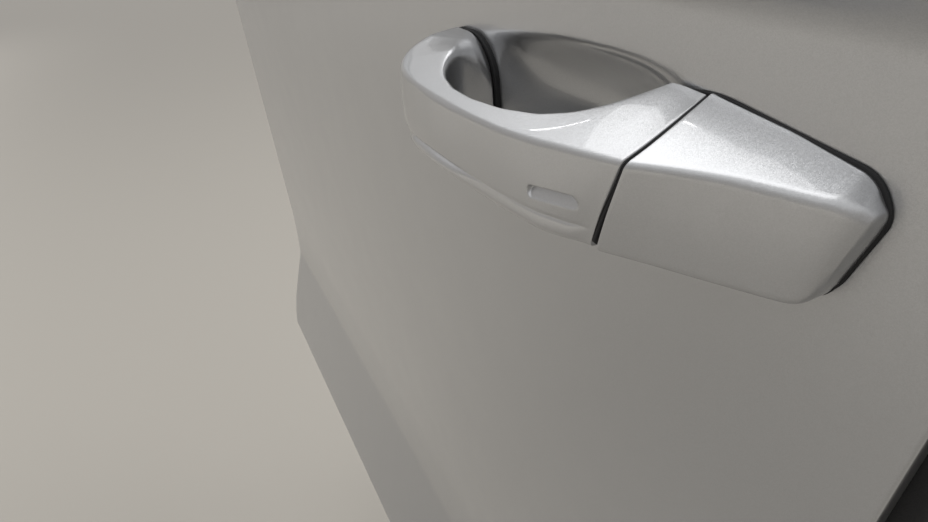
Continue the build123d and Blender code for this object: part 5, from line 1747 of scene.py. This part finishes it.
@dataclass
class Armrest:
    """The armrest: a moulded shelf with a pull cup in it, and a leather pad let into its top."""

    section: Rows = ((62.4, 32.0, 0.5), (125.6, 32.0, 9), (121.6, -4.0, 12), (90.0, -58.0, 14), (62.4, -58.0, 0.5))
    plan: Rows = ((300, 66, 0), (302, 76, 6), (450, 126, 160), (962, 126, 40), (984.5, 66, 0))
    cup: Rows = ((640, 78, 12), (760, 78, 12), (760, 112, 12), (640, 112, 12))
    pocket: Rows = ((774, 67.5, 7), (958, 67.5, 12), (946, 119, 24), (774, 119, 7))
    front_x: float = 300.2
    length: float = 684.2
    widest: float = 126.0
    # Walls: how far inward of the outline, and the height
    cup_walls: Rows = (
        (-4.5, 44), (-2.6, 32.3), (-1.5, 31.3), (-0.6, 29.8), (0, 27), (0.8, -2), (2.2, -7), (6.0, -10),
    )
    pocket_walls: Rows = ((-2.2, 44), (-1.6, 32.3), (-0.6, 31.4), (0, 30), (0, 24))

    def shelf(self) -> None:
        """Lofts the shelf and cuts the cup and the pad's pocket into it."""
        plan = rounded(self.plan, 16, 2000, False)
        shares = (1 - np.cos(np.linspace(0, math.pi, 150))) / 2
        base, top, _ = self.section[0]
        rings = []
        for x in self.front_x + self.length * (0.45 * shares + 0.55 * np.linspace(0, 1, 150)):
            wide = (float(np.interp(x, plan[:, 0], plan[:, 1])) - base) / (self.widest - base)
            tall = 0.55 + 0.45 * wide ** 0.8
            corners = np.array([(base + (y - base) * wide, top + (z - top) * tall) for y, z, _ in self.section])
            radii = [r * min(1.0, 0.3 + wide) for _, _, r in self.section]
            flat = ring(corners, radii, 8, (26, 8, 14, 8, 18))
            rings.append(lifted(flat, 0, x))
        piece = make_piece("armrest_shelf", *layered(rings))
        for outline, steps in ((self.cup, self.cup_walls), (self.pocket, self.pocket_walls)):
            rim = rounded(outline, 10, 120)
            carve(piece, layered([lifted(inset(rim, inward), 2, z) for inward, z in steps]))
        settle(piece, "cabin_plastic", Body.DOOR, "armrest")

    def build(self) -> None:
        """Builds the shelf and its pad."""
        self.shelf()
        outline = rounded(self.pocket, 10, 160)
        seam = inset(outline, 9.0)
        seam = np.vstack((seam, seam[:1]))
        Pad("armrest_pad", self.pocket, 24.2, 6.4, 1.6, Lie.FLAT, (seam,)).build()


@dataclass
class CabinTrim:
    """The trim's padded insert, its sewn edge, and the speaker's grille."""

    insert: Rows = ((660, 45, 12), (1010, 45, 18), (1022, 130, 16), (660, 130, 12))
    channels: tuple[float, ...] = (66.0, 87.5, 109.0)
    grille_at: Row = (222.0, 74.2, -165.0)
    grille_radius: float = 84.0
    pitch: float = 5.6
    grille_rim: Rows = (
        (0.0, 83.8), (3.4, 83.8), (4.6, 83.2), (5.3, 81.8), (5.5, 80.0), (5.0, 77.4), (3.6, 75.6),
        (2.6, 74.6), (0.4, 74.4),
    )
    cloth: Rows = ((0.0, 80.0), (0.9, 80.0), (1.1, 60.0), (1.0, 30.0), (1.6, 12.0), (2.0, 2.0))

    def padded_insert(self) -> None:
        """Builds the padded insert above the armrest."""
        seams = tuple(np.array(((667.0, z), (1007.0 + (z - 66) * 0.12, z))) for z in self.channels)
        Pad("trim_insert", self.insert, 61.6, 5.2, 1.0, Lie.UPRIGHT, seams, cap=2.2).build()

    def edge_thread(self, node: Piece) -> None:
        """Sews a row of stitches along the upper trim.

        Args:
            node: the upper trim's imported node.
        """
        surface = surface_of(node)
        row = []
        for x in np.arange(124, 1050, 5.6):
            hit = landing(surface, (float(x), 320.0, 163.0), (0.0, -1.0, 0.0))
            if hit is not None and hit[1][1] > 0.3:
                row.append(hit)
        settle(make_piece("trim_thread", *stitches(row, 3.9, 0.5)), "satin_plastic", Body.DOOR)

    def speaker(self) -> None:
        """Builds the perforated grille, its rim and the dark cloth behind it."""
        x0, y0, z0 = self.grille_at
        parts, reach, step = [], self.grille_radius - 8.0, self.pitch
        turn = circle(12) + SIXTH / 2
        edge = step / 2 / np.cos(turn % SIXTH - SIXTH / 2)
        for i in range(-20, 21):
            for j in range(-20, 21):
                cx, cz = step * (i + j / 2), step * j * math.sqrt(3) / 2
                if math.hypot(cx, cz) > reach:
                    continue
                rings = []
                hole = 0.33 * step
                for radius, drop in ((edge, 0.0), (hole * 1.12, 0.0), (hole, 0.35), (hole, 2.2)):
                    x, z = cx + radius * np.cos(turn), cz + radius * np.sin(turn)
                    dome = 3.4 * (1 - (x ** 2 + z ** 2) / self.grille_radius ** 2)
                    rings.append(np.stack((x0 + x, y0 + 3.2 + dome - drop, z0 + z), axis=1))
                parts.append((np.vstack(rings), grid_faces(4, 12, True)))
        rim, faces = turned(self.grille_rim, self.grille_at, (0, 1, 0), 120)
        parts.append((rim, faces[:-2]))
        settle(make_piece("grille_mesh", *gather(parts)), "grille_plastic", Body.DOOR, "speaker_grille")
        cloth = turned(self.cloth, self.grille_at, (0, 1, 0), 72)
        settle(make_piece("grille_cloth", *cloth), "seal_rubber", Body.DOOR)

    def build(self) -> None:
        """Builds the pad, the thread and the grille."""
        self.padded_insert()
        self.edge_thread(frame["nodes"]["trim_upper"])
        self.speaker()


@dataclass
class SmallControls:
    """The release lever, the window rockers and the accent strip above the insert."""

    # Lever: x, outboard y, inboard y, half height
    lever: Rows = (
        (347.6, 57.4, 61.6, 12.2), (350.0, 56.4, 63.4, 13.6), (356.0, 56.3, 65.4, 13.9),
        (362.0, 58.6, 66.9, 13.9), (370.0, 62.2, 68.2, 13.6),
        (385.0, 64.0, 69.0, 13.2), (400.0, 64.4, 69.2, 12.6), (412.0, 64.6, 69.5, 12.0),
        (419.0, 65.0, 69.8, 11.2), (421.8, 66.4, 68.6, 9.4),
    )
    lever_z: float = 92.0
    rockers: Rows = ((592, 82), (592, 99), (554, 82), (554, 99))
    rocker_z: float = 35.5
    strip: Rows = ((61.8, 132.4, 0.4), (64.0, 133.2, 1.2), (64.0, 137.4, 1.2), (61.8, 138.2, 0.4))

    def pull(self) -> None:
        """Builds the release lever, dished for a finger."""
        table = np.array(self.lever)
        spans = ((347.6, 371, 26), (371, 410, 20), (410, 421.8, 20))
        at = np.append(np.concatenate([np.linspace(*span)[:-1] for span in spans]), 421.8)
        rings = []
        for x, (low, high, half) in zip(at, between(at, table[:, 0], table[:, 1:])):
            bottom, top = self.lever_z - half, self.lever_z + half
            corners = np.array(((low, bottom), (high, bottom), (high, top), (low, top)))
            flat = ring(corners, (1.2, 2.2, 2.2, 1.2), 7, (3, 18, 3, 18))
            dish = 1.5 * ease(x, 362, 22) * ease(424 - x, 0, 10)
            level = np.clip(1 - ((flat[:, 1] - self.lever_z) / (half - 1.5)) ** 2, 0, 1)
            flat[:, 0] -= dish * level * (flat[:, 0] > high - 1.0)
            rings.append(lifted(flat, 0, x))
        settle(make_piece("release_pull", *layered(rings)), "lever_chrome", Body.LEVER, "release_lever")

    def switches(self) -> None:
        """Builds the window rockers, each with a raised front lip and a dip behind it."""
        parts = []
        for cx, cy in self.rockers:
            signs = ((-1, -1), (1, -1), (1, 1), (-1, 1))
            corners = [(cx + across * 13, cy + along * 6.5, 2.6) for across, along in signs]
            line = rounded(corners, 6, 84)
            edge = inset(line, 1.5)
            steps = [(line, 0.0), (line, 0.6), (inset(line, 0.25), 0.86), (inset(line, 0.8), 0.97), (edge, 1.0)]
            middle = np.array((cx, cy))
            steps += [(middle + (edge - middle) * s, 1.0) for s in (0.86, 0.7, 0.5, 0.3, 0.1)]
            rings = []
            for flat, share in steps:
                along = flat[:, 0] - cx
                top = 4.8 + 1.7 * hump(along, -10.5, 3.4) - 1.1 * hump(along, -2.5, 5.0)
                rings.append(lifted(flat, 2, self.rocker_z + share * top))
            parts.append(layered(rings))
        settle(make_piece("window_rockers", *gather(parts)), "switch_plastic", Body.DOOR, "window_switches")

    def accent(self) -> None:
        """Builds the satin strip under the upper trim."""
        section = rounded(self.strip, 5, 32)
        middle = np.array((61.8, 135.3))
        rings = []
        turn = np.linspace(0, QUARTER, 9)
        for x in (*(116 + 10 * (1 - np.cos(turn))), *np.linspace(128, 1028, 46), *(1030 + 10 * np.sin(turn))):
            size = max(math.sqrt(max(1 - max(0, (126 - x) / 10.2, (x - 1030) / 10.2) ** 2, 0.0)), 0.12)
            flat = middle + (section - middle) * size
            rings.append(lifted(flat, 0, x))
        settle(make_piece("accent_strip", *layered(rings)), "satin_plastic", Body.DOOR)

    def build(self) -> None:
        """Builds the three."""
        self.pull()
        self.switches()
        self.accent()


# Fasteners and rubber


@dataclass
class Fasteners:
    """Bolts, screws and plugs, each set where a ray lands on its carrier, and the wiring boot at a given place."""

    bolt: Rows = (
        (-0.6, 8.4), (1.0, 8.4), (1.5, 8.0), (1.9, 7.2), (2.0, 5.9, 1), (5.6, 5.9, 1), (6.2, 5.5, 0.6),
        (6.3, 4.2), (5.9, 3.4), (5.9, 0.4),
    )
    screw: Rows = (
        (-0.5, 6.4), (0.5, 6.4), (1.6, 5.6), (2.2, 4.4), (2.3, 3.4), (2.2, 2.7, 1), (0.6, 2.5, 1), (0.5, 0.3),
    )
    plug: Rows = (
        (-0.4, 11.5), (0.7, 11.5), (1.5, 10.8), (1.7, 9.6), (1.2, 8.4), (0.9, 7.2), (1.3, 5.8),
        (1.9, 3.0), (2.0, 0.4),
    )
    boot: Rows = (
        (0.0, 23.8), (-2.6, 23.8), (-3.4, 22.6), (-4.2, 19.8), (-5.4, 19.2), (-6.6, 20.8), (-7.6, 21.0),
        (-8.6, 18.6),
        (-9.6, 17.4), (-10.8, 19.0), (-11.8, 19.0), (-12.8, 16.4), (-13.8, 15.4), (-15.0, 16.6),
        (-15.9, 16.0), (-16.8, 13.4),
        (-17.6, 12.8), (-18.8, 13.2), (-19.6, 12.0), (-19.9, 9.6), (-19.0, 8.8), (-16.0, 8.4), (-15.6, 0.5),
    )

    def heads(self, name: str, profile: Rows, slot: str, carrier: str, rays: Sequence[tuple[Row, Row]]) -> None:
        """Sets one head where each ray lands squarely on its carrier.

        Args:
            name: the piece's name.
            profile: the head's profile.
            slot: its material slot.
            carrier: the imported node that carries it.
            rays: where each ray starts and which way it goes.
        """
        surface = surface_of(frame["nodes"][carrier])
        parts = []
        for start, way in rays:
            hit = landing(surface, start, way)
            if hit is None or -float(hit[1] @ np.array(way)) < 0.9:
                log.info("%s: no flat place at %s", name, start)
                continue
            parts.append(turned(profile, tuple(hit[0]), tuple(hit[1])))
        if parts:
            piece = make_piece(name, *gather(parts))
            piece.data.set_sharp_from_angle(angle=SHARP)
            settle(piece, slot, Body.DOOR)

    def build(self) -> None:
        """Builds each set."""
        ahead, back = (1.0, 0.0, 0.0), (-1.0, 0.0, 0.0)
        for name, z in (("upper", 0.0), ("lower", -400.0)):
            rays = [((55.5, y, z + dz), ahead) for y, dz in ((-38.0, -17.0), (-38.0, 17.0), (-1.0, 0.0))]
            self.heads(f"{name}_hinge_bolts", self.bolt, "hinge_steel", f"{name}_hinge_door_leaf", rays)
        rays = [((1300.0, y, z), back) for y, z in ((-8.0, 124.0), (19.0, 124.0), (8.0, 52.0))]
        self.heads("latch_screws", self.screw, "latch_steel", "inner_panel", rays)
        rays = [((1300.0, y, z), back) for y, z in ((12.0, -60.0), (10.0, -230.0), (8.0, 190.0))]
        rays += [((-60.0, y, z), ahead) for y, z in ((10.0, 110.0), (6.0, -110.0), (4.0, -470.0))]
        self.heads("panel_plugs", self.plug, "black_trim", "inner_panel", rays)
        boot = make_piece("wiring_boot", *turned(self.boot, (71.6, 0, -265), ahead, 48))
        settle(boot, "black_trim", Body.DOOR, "wiring_plug")


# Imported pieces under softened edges


@dataclass
class PackedPieces:
    """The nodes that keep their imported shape, with the rounding of each in millimetres."""

    usual: float = 0.8
    rounding: dict[str, float] = field(default_factory=lambda: {
        "inner_panel": 1.0, "window_frame": 1.5, "window_glass": 0.5, "glass_run": 0.6, "door_seal": 2.0,
        "inner_belt_seal": 0.6, "pillar_cover": 0.6, "mirror_sail": 0.6, "mirror_foot": 1.2, "hinge_pins": 0.6,
        "check_bracket": 0.5, "check_box": 0.6, "handle_carrier": 0.5, "mirror_glass": 0.5, "trim_panel": 2.0,
        "trim_upper": 2.0, "switch_panel": 0.5, "grab_handle": 2.0, "map_pocket": 1.2, "release_bezel": 0.5,
    })

    def build(self) -> None:
        """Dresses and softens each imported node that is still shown."""
        slots = {row["node"]: row["material_slot"] for row in frame["record"]["subparts"]}
        for name, node in frame["nodes"].items():
            if node.hide_render:
                continue
            dress(node, slots[name])
            soften(node, self.rounding.get(name, self.usual))
            log.info("%s: packed shape, edges rounded", name)


@dataclass
class Studio:
    """The camera, the floor and the lamps."""

    camera_at: Row = (1.172, -0.206, 0.1975)
    right: Row = (0.42025, 0.90367, -0.08233)
    up: Row = (-0.42372, 0.27566, 0.86283)
    back: Row = (0.80240, -0.32772, 0.49874)
    lens: float = 26.96
    floor_z: float = -0.87
    floor_rgb: Row = (0.310, 0.289, 0.256)
    backdrop_rgb: Row = (0.50, 0.48, 0.46)
    # The room's colours by height, from straight down at 0 to straight up at 1
    room: tuple[tuple[float, Row], ...] = (
        (0.0, (0.30, 0.29, 0.28)), (0.47, (0.26, 0.26, 0.26)), (0.53, (0.26, 0.26, 0.27)),
        (0.64, (0.60, 0.61, 0.63)), (0.76, (1.0, 1.0, 1.0)), (1.0, (1.0, 1.0, 1.0)),
    )

    def camera(self) -> None:
        """Places the camera at the photograph's viewing angle."""
        data = bpy.data.cameras.new("camera")
        data.lens = self.lens
        data.sensor_width = 36.0
        data.clip_start = 0.005
        data.clip_end = 200.0
        eye = linked("camera", data)
        turn = Matrix((self.right, self.up, self.back)).transposed().to_4x4()
        eye.matrix_world = Matrix.Translation(self.camera_at) @ turn
        bpy.context.scene.camera = eye

    @staticmethod
    def straight(tree: Tree) -> tuple[Socket, Socket]:
        """Tells rays that show the backdrop.

        Args:
            tree: the tree of the floor or the room.

        Returns:
            Whether a ray comes from the camera or through glass, and whether from a gloss.
        """
        path = tree.add("LightPath").outputs
        return tree.maths("MAXIMUM", path["Is Camera Ray"], path["Is Transmission Ray"]), path["Is Glossy Ray"]

    def floor(self) -> None:
        """Lays a plain pale floor that fades into the backdrop far away."""
        size = 40.0
        signs = ((-1, -1), (1, -1), (1, 1), (-1, 1))
        corners = [(size * across, size * along, self.floor_z) for across, along in signs]
        mesh = bpy.data.meshes.new("floor")
        mesh.from_pydata(corners, [], [(0, 1, 2, 3)])
        floor = linked("floor", mesh)
        material = bpy.data.materials.new("floor")
        material.use_nodes = True
        nodes, tree = material.node_tree.nodes, Tree(material.node_tree)
        shader = tree.feed(nodes["Principled BSDF"], Base_Color=tint(self.floor_rgb), Roughness=0.45)
        away = tree.vector("LENGTH", tree.add("NewGeometry").outputs["Position"])
        seen = tree.maths("MAXIMUM", *self.straight(tree))
        mixed = tree.add("MixShader", Fac=tree.maths("MULTIPLY", tree.span(away, 12.0, 36.0), seen))
        tree.give(mixed.inputs[1], shader.outputs[0])
        tree.give(mixed.inputs[2], tree.add("Emission", Color=tint(self.backdrop_rgb)).outputs[0])
        tree.feed(nodes["Material Output"], Surface=mixed.outputs[0])
        mesh.materials.append(material)

    @staticmethod
    def lamp(name: str, at: Row, aim: Row, size: Row, power: float, cone: float = 180.0, roll: float = 0.0) -> None:
        """Hangs a soft lamp.

        Args:
            name: the lamp's name.
            at: where it hangs, in metres.
            aim: the point that it faces.
            size: its width and height.
            power: its power in watts.
            cone: how wide it shines, in degrees.
            roll: how far it is turned about its own axis, in degrees.
        """
        data = bpy.data.lights.new(name, "AREA")
        data.shape = "RECTANGLE"
        data.size, data.size_y = size
        data.energy = power
        data.spread = math.radians(cone)
        lamp = linked(name, data)
        turn = (Vector(aim) - Vector(at)).to_track_quat("-Z", "Y").to_matrix()
        turn = turn @ Matrix.Rotation(math.radians(roll), 3, "Z")
        lamp.matrix_world = Matrix.Translation(at) @ turn.to_4x4()

    def world(self) -> None:
        """Sets a soft room: bright overhead, quieter at the horizon."""
        world = bpy.data.worlds.new("room")
        bpy.context.scene.world = world
        world.use_nodes = True
        tree = Tree(world.node_tree)
        height = tree.add("SeparateXYZ", Vector=tree.add("TexCoord").outputs["Generated"]).outputs[2]
        share = tree.maths("MULTIPLY_ADD", height, 0.5, 0.5)
        ramp = tree.add("ValToRGB", Fac=share)
        stops = ramp.color_ramp.elements
        (stops[0].position, first), (stops[1].position, last) = self.room[0], self.room[-1]
        stops[0].color, stops[1].color = tint(first), tint(last)
        for position, rgb in self.room[1:-1]:
            stops.new(position).color = tint(rgb)
        seen, glossy = self.straight(tree)
        low = tree.maths("MULTIPLY", glossy, tree.span(share, 0.64, 0.76, 1.0, 0.0))
        seen = tree.maths("MAXIMUM", seen, low)
        back = tree.blend(seen, ramp.outputs[0], tint(self.backdrop_rgb))
        tree.feed(world.node_tree.nodes["Background"], Color=back, Strength=1.0)

    def build(self) -> None:
        """Builds the whole studio."""
        bpy.context.scene.view_settings.view_transform = "Standard"
        self.camera()
        self.floor()
        self.world()
        self.lamp("ceiling", (-0.5, -0.3, 2.9), (0.9, -0.1, 0.1), (3.8, 2.6), 52.0)
        self.lamp("cabin", (0.6, 2.6, 1.4), (0.6, 0.0, 0.0), (2.4, 1.8), 45.0)
        self.lamp("far_floor", (-1.2, -4.2, 2.4), (-1.2, -4.2, -0.87), (10.0, 4.4), 210.0, 62.0)
        self.lamp("strip_seam", (-0.36, -0.07, 2.2), (1.05, -0.08, 0.13), (0.05, 0.16), 0.4)
        self.lamp("strip_grip", (-1.90, -0.17, 2.2), (1.0, -0.1, 0.13), (0.008, 0.26), 0.14, roll=30.0)


def main() -> None:
    """Builds the studio and each part of the door."""
    logging.basicConfig(level=logging.INFO, format="%(name)s: %(message)s")
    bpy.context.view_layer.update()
    Studio().build()
    handle = HandleFrame()
    skin = OuterSkin(handle, FingerCup())
    skin.build()
    PullHandle(handle, skin).build()
    GapSealAndShade(skin).build()
    Mirror().build()
    Armrest().build()
    CabinTrim().build()
    SmallControls().build()
    Fasteners().build()
    PackedPieces().build()


if __name__ == "__main__":
    main()
